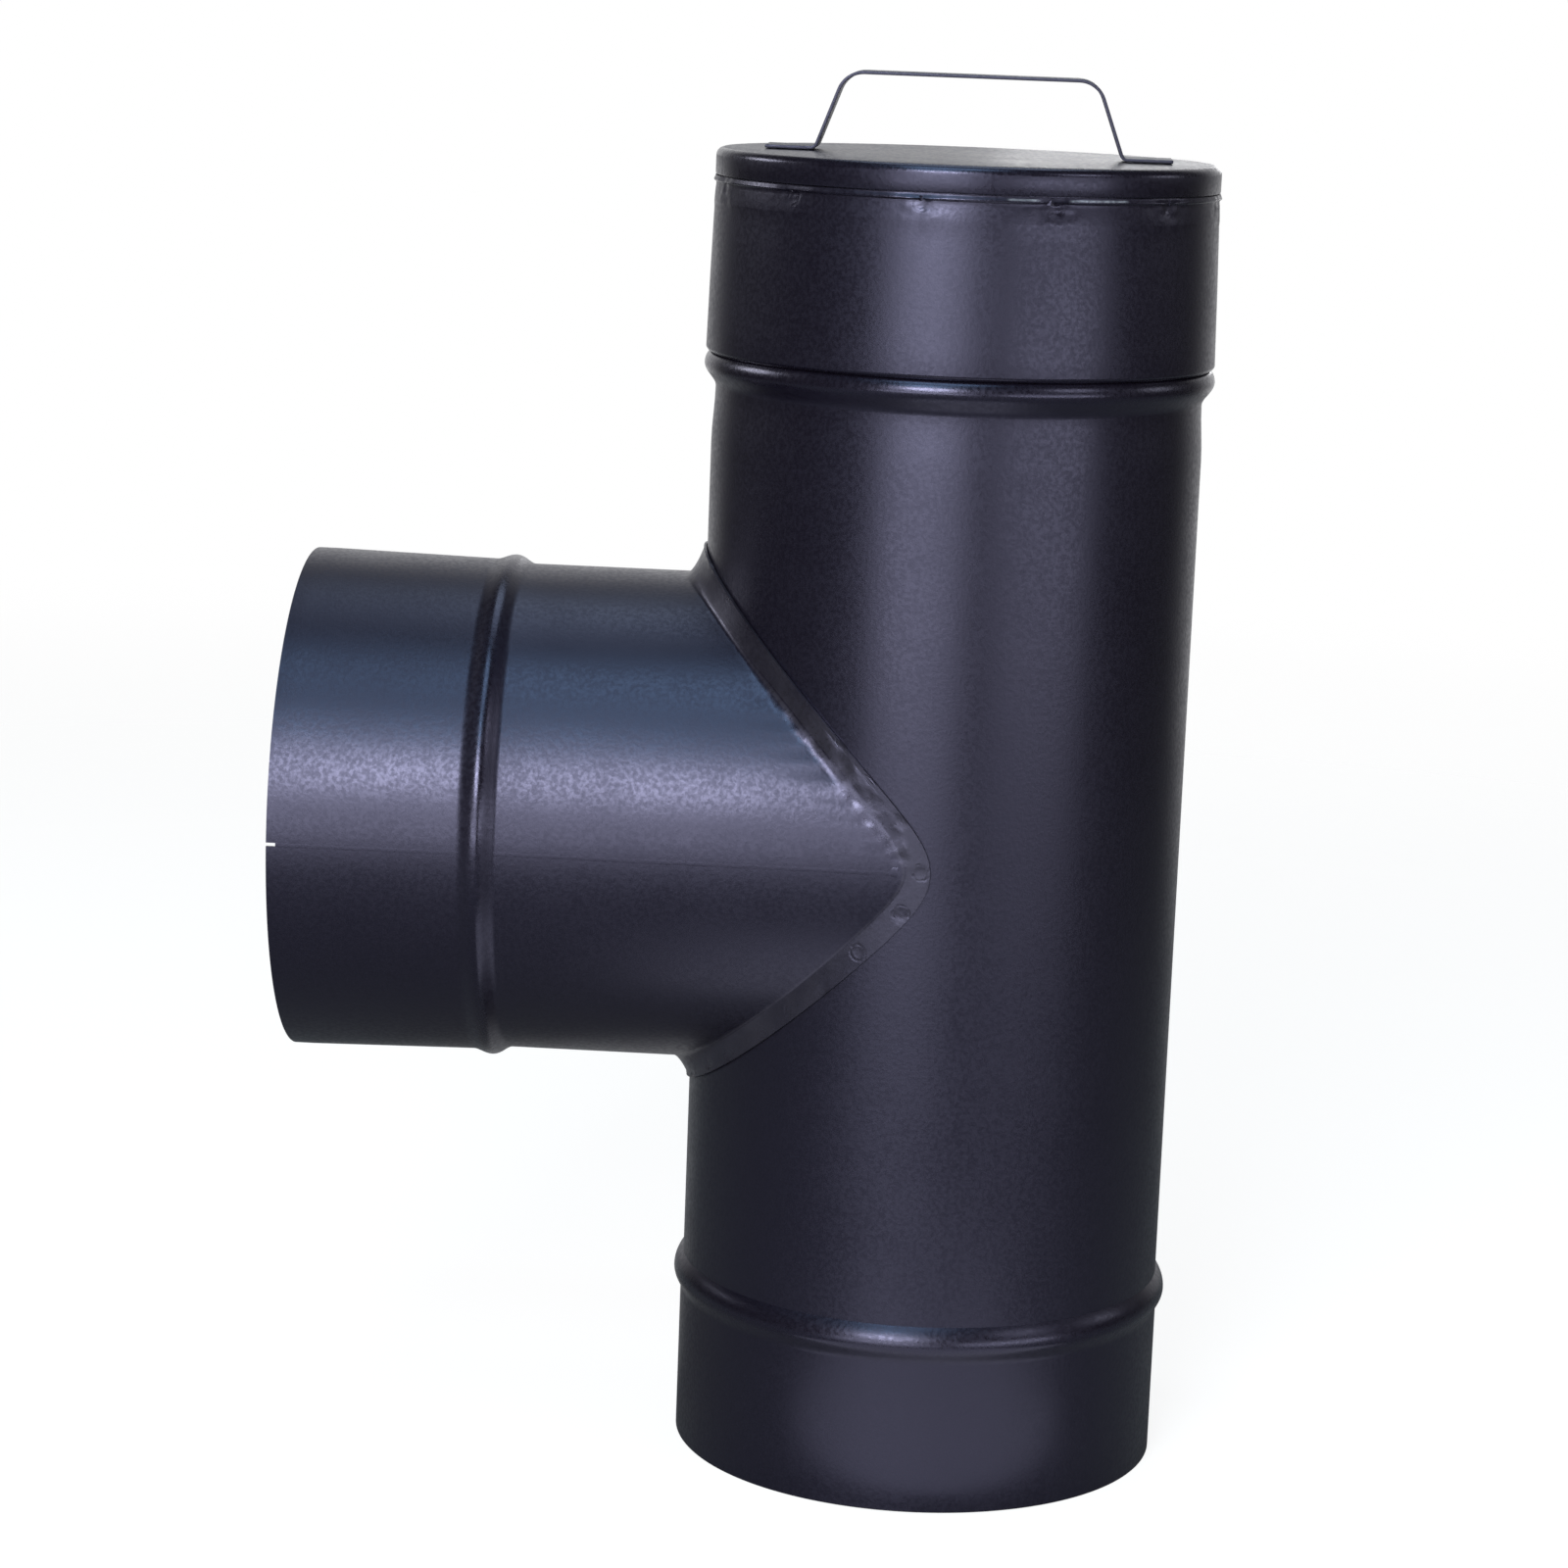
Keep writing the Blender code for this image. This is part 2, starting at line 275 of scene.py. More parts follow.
class SheetGroup(Group):
    """A geometry tree that shapes one sheet and paints it."""

    def __init__(self, name: str, sizes: dict[str, float]) -> None:
        """Makes the tree.

        Args:
            name: The tree's name.
            sizes: Its own inputs, with their defaults.
        """
        inputs = {"Geometry": "Geometry", **sizes, "Material": "Material"}
        super().__init__(name, "GeometryNodeTree", inputs, {"Geometry": "Geometry"})

    def store(self, geometry: Signal, name: str, value: Signal) -> Signal:
        """Stores a number on every point.

        Args:
            geometry: The sheet before it.
            name: The number's name.
            value: The number.

        Returns:
            The sheet after it.
        """
        feeds = {"Geometry": geometry, "Name": name, "Value": value}
        return self.read("GeometryNodeStoreNamedAttribute", 0, feeds, data_type="FLOAT", domain="POINT")

    def stored(self, name: str) -> Signal:
        """Reads a number stored on every point."""
        return self.read("GeometryNodeInputNamedAttribute", "Attribute", {"Name": name}, data_type="FLOAT")

    def sampled(self, value: Signal, row: Signal, kind: str) -> Signal:
        """Takes a value from one point of the given outline.

        Args:
            value: The value.
            row: The point's number.
            kind: The type of the value.

        Returns:
            The value there.
        """
        feeds = {"Geometry": self.given["Geometry"], "Value": value, "Index": row}
        return self.read("GeometryNodeSampleIndex", 0, feeds, data_type=kind, domain="POINT")

    def close(self, geometry: Signal) -> bpy.types.NodeTree:
        """Ends the tree in Realize Instances and Set Material.

        Args:
            geometry: The finished sheet.

        Returns:
            The finished tree.
        """
        real = self.read("GeometryNodeRealizeInstances", 0, {"Geometry": geometry})
        coat = {"Geometry": real, "Material": self.given["Material"]}
        self.fill(self.out, {"Geometry": self.read("GeometryNodeSetMaterial", 0, coat)})
        return self.tree


@dataclass(frozen=True)
class WeldForm:
    """Shares that give a spot weld its section and its neighbourhood."""

    weakest: float = 0.3
    stray: float = 2.0
    bowl_floor: float = 0.45
    nub: float = 0.55
    halo_start: float = 0.5
    pull_reach: float = 0.2

    def tree(self) -> bpy.types.NodeTree:
        """Tree that presses a row of spot welds, and the crumples beside them, into a sheet."""
        group = SheetGroup("spot_weld_row", {
            "Pitch": 0.015, "Count": 12, "Phase": 0.0, "Radius": 0.0025, "Depth": 0.0001,
            "Wander": 0.0005, "Seed": 1, "Crumple Depth": 0.0, "Crumple Size": 0.006,
            "Halo": 0.004, "Pull": 0.0, "Edge": 0.003})
        given = group.given
        pitch = given["Pitch"]
        radius = given["Radius"]
        wander = given["Wander"]
        along = group.stored("weld_along") - given["Phase"]
        cell = group.math("ROUND", along / pitch)
        number = group.math("FLOORED_MODULO", cell, given["Count"])
        lowest = wander * -1.0
        draws = []
        for shift, (low, high) in enumerate(((lowest, wander), (lowest, wander), (self.weakest, 1.0))):
            feeds = {2: low, 3: high, "ID": number, "Seed": given["Seed"] + shift}
            draws.append(group.read("FunctionNodeRandomValue", 1, feeds, data_type="FLOAT"))
        beside = along - cell * pitch - draws[0] * self.stray
        above = group.stored("weld_across") - draws[1]
        distance = group.math("SQRT", beside * beside + above * above)
        depth = given["Depth"] * draws[2]
        bowl_edge = radius * self.bowl_floor
        bowl = group.ramp(distance, bowl_edge, radius, depth * -1.0, 0.0)
        nub = group.ramp(distance, 0.0, bowl_edge, depth * self.nub, 0.0)
        place = group.read("GeometryNodeInputPosition", 0)
        wave = (group.noise(place, given["Crumple Size"], 1.0) - 0.5) * 2.0
        halo = group.ramp(distance, radius * self.halo_start, given["Halo"], draws[2], 0.0)
        wave = wave * group.math("MAXIMUM", group.stored("crumple"), halo) * given["Crumple Depth"]
        near = group.ramp(abs(beside), radius, pitch * self.pull_reach, 1.0, 0.0)
        pulled = group.ramp(above, 0.0, given["Edge"], 0.0, given["Pull"] * -1.0)
        rise = bowl + nub + (wave + near * pulled)
        normal = group.read("GeometryNodeInputNormal", 0)
        offset = group.read("ShaderNodeVectorMath", 0, {0: normal, "Scale": rise}, operation="SCALE")
        marked = group.store(given["Geometry"], "weld_distance", distance)
        return group.close(group.read("GeometryNodeSetPosition", 0, {"Geometry": marked, "Offset": offset}))


class GeometryTrees:
    """The geometry trees that shape the sheets."""

    def __init__(self) -> None:
        """Builds each tree once."""
        self.turned = self._turned()
        self.welds = WeldForm().tree()
        self.seam = self._seam()

    @staticmethod
    def _turned() -> bpy.types.NodeTree:
        """Tree that turns an outline about Z: a grid with a row for each outline point."""
        group = SheetGroup("turned_sheet", {"Segments": 64, "Weld Ring": 0.075, "Weld Level": 0.0})
        given = group.given
        count = group.read("GeometryNodeAttributeDomainSize", "Point Count",
                           {"Geometry": given["Geometry"]}, component="MESH")
        cells = {"Vertices X": given["Segments"] + 1, "Vertices Y": count}
        grid = group.read("GeometryNodeMeshGrid", 0, cells)
        index = group.read("GeometryNodeInputIndex", 0)
        row = group.math("FLOORED_MODULO", index, count)
        column = group.math("FLOOR", index / count)
        place = group.read("GeometryNodeInputPosition", 0)
        point = group.outputs("ShaderNodeSeparateXYZ", {0: group.sampled(place, row, "FLOAT_VECTOR")})
        worn = group.sampled(group.stored("rubbed"), row, "FLOAT")
        turn = column / given["Segments"] * (-2 * math.pi)
        swung = {"X": point["X"] * group.math("COSINE", turn), "Y": point["X"] * group.math("SINE", turn),
                 "Z": point["Z"]}
        placed = group.read("ShaderNodeCombineXYZ", 0, swung)
        moved = group.read("GeometryNodeSetPosition", 0, {"Geometry": grid, "Position": placed})
        closed = group.read("GeometryNodeMergeByDistance", 0, {
            "Geometry": group.store(moved, "rubbed", worn), "Distance": MERGE})
        here = group.outputs("ShaderNodeSeparateXYZ", {0: place})
        along = group.math("ARCTAN2", here["Y"], here["X"]) * given["Weld Ring"]
        marked = group.store(closed, "weld_along", along)
        return group.close(group.store(marked, "weld_across", here["Z"] - given["Weld Level"]))

    @staticmethod
    def _seam() -> bpy.types.NodeTree:
        """Tree that runs a low weld bead along a path of edges."""
        group = SheetGroup("seam_weld", {"Width": 0.0012, "Rise": 0.0001})
        path = group.read("GeometryNodeMeshToCurve", 0, {"Mesh": group.given["Geometry"]})
        section = group.read("GeometryNodeCurvePrimitiveCircle", 0, {"Resolution": 12, "Radius": 0.5})
        across = {"X": group.given["Rise"] * 2.0, "Y": group.given["Width"], "Z": 1.0}
        flat = group.read("GeometryNodeTransform", 0, {
            "Geometry": section, "Scale": group.read("ShaderNodeCombineXYZ", 0, across)})
        sweep = {"Curve": path, "Profile Curve": flat, "Fill Caps": True}
        return group.close(group.read("GeometryNodeCurveToMesh", 0, sweep))


@dataclass
class FinishGroups:
    """Shader groups that the paints share. Spans are parts of a noise, weld sizes shares of its radius."""

    peel_span: Span = (0.29, 0.71)
    peel_share: float = 0.7
    speck_span: Span = (0.35, 0.65)
    mottle_span: Span = (0.3, 0.7)
    wear_span: Span = (0.42, 0.62)
    wear_size: float = 1.2
    groove_width: float = 0.3
    face_edge: float = 0.8
    grain: bpy.types.NodeTree = field(init=False)
    weld: bpy.types.NodeTree = field(init=False)

    def __post_init__(self) -> None:
        """Builds each group once."""
        self.grain = self._grain()
        self.weld = self._weld()

    def _grain(self) -> bpy.types.NodeTree:
        """Group for sprayed paint: orange peel, fine specks and slow mottling."""
        group = Group("paint_grain", "ShaderNodeTree", {
            "Vector": "Vector", "Peel Size": 0.0013, "Speck Size": 0.0004, "Mottle Size": 0.020},
            {"Height": "Float", "Peel": "Float", "Speck": "Float", "Mottle": "Float"})
        vector = group.given["Vector"]
        peel = group.ramp(group.noise(vector, group.given["Peel Size"], 1.0), *self.peel_span)
        speck = group.noise(vector, group.given["Speck Size"], 1.0)
        mottle = group.noise(vector, group.given["Mottle Size"], 3.0)
        group.fill(group.out, {
            "Height": peel * self.peel_share + speck * (1 - self.peel_share), "Peel": peel,
            "Speck": group.ramp(speck, *self.speck_span), "Mottle": group.ramp(mottle, *self.mottle_span)})
        return group.tree

    def _weld(self) -> bpy.types.NodeTree:
        """Group for the print of a spot weld: a ring groove and a burnished face."""
        group = Group("spot_weld_print", "ShaderNodeTree", {
            "Vector": "Vector", "Distance": 1.0, "Radius": 0.0025}, {"Height": "Float", "Mask": "Float"})
        distance = group.given["Distance"]
        radius = group.given["Radius"]
        groove = group.ramp(abs(distance - radius), 0.0, radius * self.groove_width, -1.0, 0.0)
        noise = group.noise(group.given["Vector"], radius * self.wear_size, 1.0)
        worn = group.ramp(noise, *self.wear_span)
        known = group.math("GREATER_THAN", distance, 0.0) * worn
        face = group.ramp(distance, radius * self.face_edge, radius, 1.0, 0.0)
        group.fill(group.out, {"Height": groove * known, "Mask": face * known})
        return group.tree


@dataclass(frozen=True)
class StovePaint:
    """Sprayed heat resistant paint on rolled sheet."""

    name: str
    colour: Colour = (0.0040, 0.0028, 0.0060, 1.0)
    pale: Colour = (0.0085, 0.0068, 0.0125, 1.0)
    pale_share: float = 0.6
    roughness: float = 0.35
    peel_spread: float = 0.10
    mottle_spread: float = 0.03
    rub_gloss: float = 0.10
    # Lighter colour over the saddle's fold and flange band: painted light that lifts a band the lamps leave
    # dark, patchy by the mottle.
    painted_flange_light: Colour = (0.022, 0.020, 0.026, 1.0)
    painted_flange_light_least: float = 0.35
    # Pale colour along the cap's worn edge spans: bare steel, with its glint painted in as colour, a
    # painted highlight.
    bare_glint: Colour = (0.20, 0.215, 0.245, 1.0)
    bare_glint_least: float = 0.4
    bare_glint_level: float = 0.0
    bare_glint_half: float = 0.0004
    bare_glint_core: float = 0.5
    bare_glint_fade: float = 0.002
    bare_glint_spans: tuple[Span, ...] = ()
    specular: float = 0.75
    tint: Colour = (0.66, 0.66, 1.0, 1.0)
    peel_size: float = 0.00125
    peel_depth: float = 0.000015
    weld_radius: float = 0.0
    weld_groove: float = 0.00008
    weld_gloss: float = 0.08

    def _worn_edge_glint(self, build: NodeBuilder) -> Signal:
        """Where handling took the paint off an edge, with the glint there painted in: a pale thin line
        along each bare span, a painted highlight.

        Args:
            build: The material's builder.

        Returns:
            A share from 0 to 1.
        """
        away = abs(build.mark("weld_across") - self.bare_glint_level)
        along = build.mark("weld_along")
        inside = 0.0
        for start, end in self.bare_glint_spans:
            half = (end - start) / 2
            beside = abs(along - (start + end) / 2)
            span = build.ramp(beside, half - self.bare_glint_fade, half, 1.0, 0.0)
            inside = build.math("MAXIMUM", inside, span)
        return build.ramp(away, self.bare_glint_half * self.bare_glint_core, self.bare_glint_half, 1.0, 0.0) * inside

    def build(self, groups: FinishGroups) -> bpy.types.Material:
        """Makes the material.

        Args:
            groups: The shared shader groups.

        Returns:
            The material.
        """
        material = bpy.data.materials.new(self.name)
        material.use_nodes = True
        build = NodeBuilder(material.node_tree)
        place = build.read("ShaderNodeTexCoord", "Object")
        grain = build.outputs("ShaderNodeGroup", {"Vector": place, "Peel Size": self.peel_size},
                              node_tree=groups.grain)
        colour = build.mix(grain["Speck"] * self.pale_share, self.colour, self.pale)
        # Painted light: lightens the saddle's fold and flange band, patchy by the mottle.
        patchy = grain["Mottle"] * (1 - self.painted_flange_light_least) + self.painted_flange_light_least
        colour = build.mix(build.mark("scuffed") * patchy, colour, self.painted_flange_light)
        # Painted highlight: a pale line along the worn spans of the cap's edge, standing in for their
        # glint.
        if self.bare_glint_spans:
            flaked_glint = grain["Peel"] * (1 - self.bare_glint_least) + self.bare_glint_least
            colour = build.mix(self._worn_edge_glint(build) * flaked_glint, colour, self.bare_glint)
        rough = self.roughness + self.peel_spread / 2 - grain["Peel"] * self.peel_spread
        rough = rough + grain["Mottle"] * self.mottle_spread - build.mark("rubbed") * self.rub_gloss
        peel = {"Strength": 1.0, "Distance": self.peel_depth, "Height": grain["Height"]}
        normal = build.read("ShaderNodeBump", "Normal", peel)
        if self.weld_radius:
            feeds = {"Vector": place, "Distance": build.mark("weld_distance"), "Radius": self.weld_radius}
            weld = build.outputs("ShaderNodeGroup", feeds, node_tree=groups.weld)
            press = {"Distance": self.weld_groove, "Height": weld["Height"], "Normal": normal}
            normal = build.read("ShaderNodeBump", "Normal", press)
            rough = rough + weld["Mask"] * -self.weld_gloss
        build.fill(material.node_tree.nodes["Principled BSDF"], {
            "Base Color": colour, "Roughness": rough, "Normal": normal,
            "Specular IOR Level": self.specular, "Specular Tint": self.tint})
        return material


@dataclass
class FrameSizes:
    """Driving sizes, read from the frame's nodes where a node gives them."""

    sheet: float = 0.0008
    clearance: float = 0.0003
    axis_x: float = field(init=False)
    length: float = field(init=False)
    bead_radius: float = field(init=False)
    reach: float = field(init=False)
    branch_level: float = field(init=False)
    lid_top: float = field(init=False)
    lid_radius: float = field(init=False)
    lid_foot: float = field(init=False)
    skirt_top: float = field(init=False)
    skirt_foot: float = field(init=False)
    skirt_radius: float = field(init=False)
    handle_top: float = field(init=False)

    def __post_init__(self) -> None:
        """Reads the frame's boxes."""
        low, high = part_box("main_pipe")
        self.axis_x = (low[0] + high[0]) / 2
        self.length = high[2]
        self.bead_radius = (high[0] - low[0]) / 2
        low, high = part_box("branch_pipe")
        self.reach = self.axis_x - low[0]
        self.branch_level = (low[2] + high[2]) / 2
        low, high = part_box("cap_disc")
        self.lid_top = high[2]
        self.lid_foot = low[2]
        self.lid_radius = (high[0] - low[0]) / 2
        low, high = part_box("cap_skirt")
        self.skirt_top = high[2]
        self.skirt_foot = low[2]
        self.skirt_radius = (high[0] - low[0]) / 2
        self.handle_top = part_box("cap_handle")[1][2]


def shares(steps: int, first: int = 1) -> list[float]:
    """Even shares of a length, up to the whole of it."""
    return [step / steps for step in range(first, steps + 1)]


def bead(middle: float, near: float, far: float, peak: float, before: float, after: float,
         steps: int, power: float = 0.0) -> Outline:
    """Points of a rolled bead, along rising distance.

    Args:
        middle: Distance of its crest.
        near: Width of the flank before the crest.
        far: Width of the flank after it.
        peak: Radius at its crest.
        before: Radius before it.
        after: Radius after it.
        steps: Steps in each flank.
        power: 0 for a far flank like the near one, 1 for a fuller one, 0.5 for one that ends steeply.

    Returns:
        Pairs of radius and distance.
    """
    points = []
    for share in shares(steps, -steps):
        base, width = (before, near) if share < 0 else (after, far)
        rise = (1 + math.cos(math.pi * share)) / 2
        if power and share > 0:
            rise = (1 - share ** 2) ** power
        points.append((base + (peak - base) * rise, middle + share * width))
    return points


def rubbed(outline: Outline) -> list[float]:
    """How far handling has rubbed an outline: fully on tight outer bends, not at all on flats.

    Args:
        outline: Outer side from top to bottom, or from the mouth inwards.

    Returns:
        A share from 0 to 1 for each point.
    """
    worn = [0.0]
    for before, here, after in zip(outline, outline[1:], outline[2:]):
        first = Vector(here) - Vector(before)
        second = Vector(after) - Vector(here)
        bend = first.angle_signed(second, 0.0)
        tight = bend / (first.length + second.length) * 2 * RUBBED_BEND
        worn.append(min(1.0, max(0.0, tight - RUB_START) / (1 - RUB_START)))
    return worn + [0.0]


def settle(source: bpy.types.Object, name: str, axis_x: float) -> bpy.types.Object:
    """Turns an object with its modifiers into a plain mesh in the row frame.

    Args:
        source: The object, modelled about the pipe axis. It is removed.
        name: Name of the finished piece.
        axis_x: Place of the pipe axis along X.

    Returns:
        The finished piece.
    """
    depsgraph = bpy.context.evaluated_depsgraph_get()
    mesh = bpy.data.meshes.new_from_object(
        source.evaluated_get(depsgraph), preserve_all_data_layers=True, depsgraph=depsgraph)
    bpy.data.objects.remove(source, do_unlink=True)
    mesh.name = name
    clean = bmesh.new()
    clean.from_mesh(mesh)
    bmesh.ops.remove_doubles(clean, verts=clean.verts, dist=MERGE / 10)
    bmesh.ops.recalc_face_normals(clean, faces=clean.faces)
    clean.to_mesh(mesh)
    clean.free()
    mesh.transform(Matrix.Translation((axis_x, 0.0, 0.0)))
    mesh.shade_smooth()
    mesh.set_sharp_from_angle(angle=math.radians(SHARP_ANGLE))
    piece = bpy.data.objects.new(name, mesh)
    bpy.context.scene.collection.objects.link(piece)
    return piece


def raw_object(name: str, points: list[Triple], edges: list[tuple[int, int]],
               faces: list[tuple[int, ...]]) -> bpy.types.Object:
    """Adds an object from points, edges and faces.

    Args:
        name: The object's name.
        points: Its points, about the pipe axis.
        edges: Its loose edges, as pairs of point numbers.
        faces: Its faces, as rings of point numbers.

    Returns:
        The object.
    """
    mesh = bpy.data.meshes.new(name)
    mesh.from_pydata(points, edges, faces)
    made = bpy.data.objects.new(name, mesh)
    bpy.context.scene.collection.objects.link(made)
    return made


def path_object(name: str, points: list[Triple]) -> bpy.types.Object:
    """Adds a chain of edges through points, about the pipe axis."""
    return raw_object(name, points, [(i, i + 1) for i in range(len(points) - 1)], [])


def nodes_modifier(owner: bpy.types.Object, tree: bpy.types.NodeTree, values: dict[str, object]) -> None:
    """Puts a geometry tree on an object and sets its inputs.

    Args:
        owner: The object.
        tree: The geometry tree.
        values: Input values by name.
    """
    modifier = owner.modifiers.new(tree.name, "NODES")
    modifier.node_group = tree
    identifiers = {item.name: item.identifier for item in tree.interface.items_tree
                   if item.item_type == "SOCKET" and item.in_out == "INPUT"}
    for label, value in values.items():
        modifier[identifiers[label]] = value


def wall(owner: bpy.types.Object, thickness: float, offset: float, even: bool = True) -> None:
    """Gives an open surface its sheet thickness.

    Args:
        owner: The object.
        thickness: The sheet.
        offset: -1 for a wall inside the surface, 0 for one about it.
        even: True to keep the thickness round bends. False where pressed dents are tight.
    """
    solidify = owner.modifiers.new("wall", "SOLIDIFY")
    solidify.thickness = thickness
    solidify.offset = offset
    solidify.use_even_offset = even


def mark(owner: bpy.types.Object, name: str, values: np.ndarray) -> None:
    """Stores a number on every point of a mesh.

    Args:
        owner: The object of the mesh.
        name: The number's name.
        values: The numbers, in the order of the points.
    """
    layer = owner.data.attributes.new(name, "FLOAT", "POINT")
    layer.data.foreach_set("value", values.astype(np.float32))


@dataclass
class Sheetwork:
    """What every sub-assembly is made with."""

    sizes: FrameSizes
    trees: GeometryTrees

    def turned(self, name: str, outline: Outline, segments: int, material: bpy.types.Material,
               ring: float, level: float) -> bpy.types.Object:
        """Turns an outline into an open sheet.

        Args:
            name: Name of the raw object.
            outline: Outer side from top to bottom, as radius and height.
            segments: Facets round the axis.
            material: Its paint.
            ring: Radius of the row of welds.
            level: Height of the row of welds.

        Returns:
            The raw object with the geometry tree on it.
        """
        made = path_object(name, [(radius, 0.0, height) for radius, height in outline])
        mark(made, "rubbed", np.array(rubbed(outline)))
        nodes_modifier(made, self.trees.turned, {
            "Segments": segments, "Weld Ring": ring, "Weld Level": level, "Material": material})
        return made

    def seam(self, name: str, path: list[Triple], width: float, rise: float,
             material: bpy.types.Material) -> bpy.types.Object:
        """Runs a seam weld along a path on a sheet.

        Args:
            name: Name of the finished piece.
            path: Points on the sheet's surface, about the pipe axis.
            width: Width of the weld.
            rise: Height over the path.
            material: Its paint.

        Returns:
            The finished piece.
        """
        made = path_object(name + "_path", path)
        nodes_modifier(made, self.trees.seam, {"Width": width, "Rise": rise, "Material": material})
        return settle(made, name, self.sizes.axis_x)

    @staticmethod
    def fit(piece: bpy.types.Object, body: Body, slot: Slot, node: str = "") -> None:
        """Puts a finished piece on its body.

        Args:
            piece: The piece.
            body: The body that it rides on.
            slot: The record's slot for the piece. Not used.
            node: The frame's node that it stands for, if any.
        """
        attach(piece, body.value)
        if node:
            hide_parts(node)
        LOG.info("%s: %d triangles, on %s", piece.name,
                 sum(len(face.vertices) - 2 for face in piece.data.polygons), body.value)


@dataclass
class MainPipe(Sheetwork):
    """Rolled pipe with two beads, a spigot under the cap and the hole for the branch."""

    paint: bpy.types.Material
    radius: float = 0.0750
    segments: int = 256
    bead_width: float = 0.0120
    bead_steps: int = 10
    upper_bead_lift: float = 0.0010
    upper_bead_over: float = 0.0040
    upper_bead_power: float = 0.5
    lower_bead_level: float = 0.0525
    lower_bead_power: float = 1.0
    spigot_length: float = 0.0538
    waist: float = 0.00080
    waist_length: float = 0.017
    waist_steps: int = 4
    lower_oversize: float = 0.0006
    spigot_radius: float = 0.0741
    spigot_lead: float = 0.0020
    rim_round: float = 0.0002
    hole_radius: float = 0.0719
    seam_width: float = 0.0030
    seam_crown: float = 0.0005
    seam_rise: float = 0.00010

    def outline(self) -> Outline:
        """Outside of the pipe from its upper end to its lower end."""
        half = self.bead_width / 2
        low_radius = self.radius + self.lower_oversize
        upper_level = self.sizes.length - self.spigot_length
        upper = bead(upper_level + self.upper_bead_lift, half + self.upper_bead_lift, self.upper_bead_over,
                     self.sizes.bead_radius, self.radius - self.waist, self.radius, self.bead_steps,
                     self.upper_bead_power)
        lower = bead(self.lower_bead_level, half, half, self.sizes.bead_radius, low_radius, self.radius,
                     self.bead_steps, self.lower_bead_power)
        points = [(self.spigot_radius - self.rim_round, self.sizes.length)]
        points += [(self.spigot_radius, self.sizes.length - self.rim_round)]
        points += [(self.spigot_radius, self.sizes.lid_foot - self.spigot_lead)]
        points += upper[::-1]
        relaxed = upper_level - half
        for share in shares(self.waist_steps):
            ease = (1 + math.cos(math.pi * share)) / 2
            points.append((self.radius - self.waist * ease, relaxed - share * self.waist_length))
        points += lower[::-1]
        points += [(low_radius, self.rim_round), (low_radius - self.rim_round, 0.0)]
        return points

    def build(self) -> None:
        """Builds the pipe and its seam."""
        made = self.turned("pipe_raw", self.outline(), self.segments, self.paint, self.radius, 0.0)
        wall(made, self.sizes.sheet, -1.0)
        depth = 2 * self.sizes.bead_radius
        bpy.ops.mesh.primitive_cylinder_add(
            vertices=self.segments // 2, radius=self.hole_radius, depth=depth,
            location=(-depth / 2, 0.0, self.sizes.branch_level), rotation=(0.0, -math.pi / 2, 0.0))
        cutter = bpy.context.object
        hole = made.modifiers.new("hole", "BOOLEAN")
        hole.operation = "DIFFERENCE"
        hole.solver = "EXACT"
        hole.object = cutter
        piece = settle(made, "pipe_shell", self.sizes.axis_x)
        bpy.data.objects.remove(cutter, do_unlink=True)
        self.fit(piece, Body.TEE, Slot.PIPE, "main_pipe")
        sunk = self.seam_crown - self.seam_rise
        path = [(0.0, radius - sunk, height) for radius, height in self.outline()[3:-1]]
        seam = self.seam("pipe_back_seam", path, self.seam_width, self.seam_crown, self.paint)
        self.fit(seam, Body.TEE, Slot.PIPE)


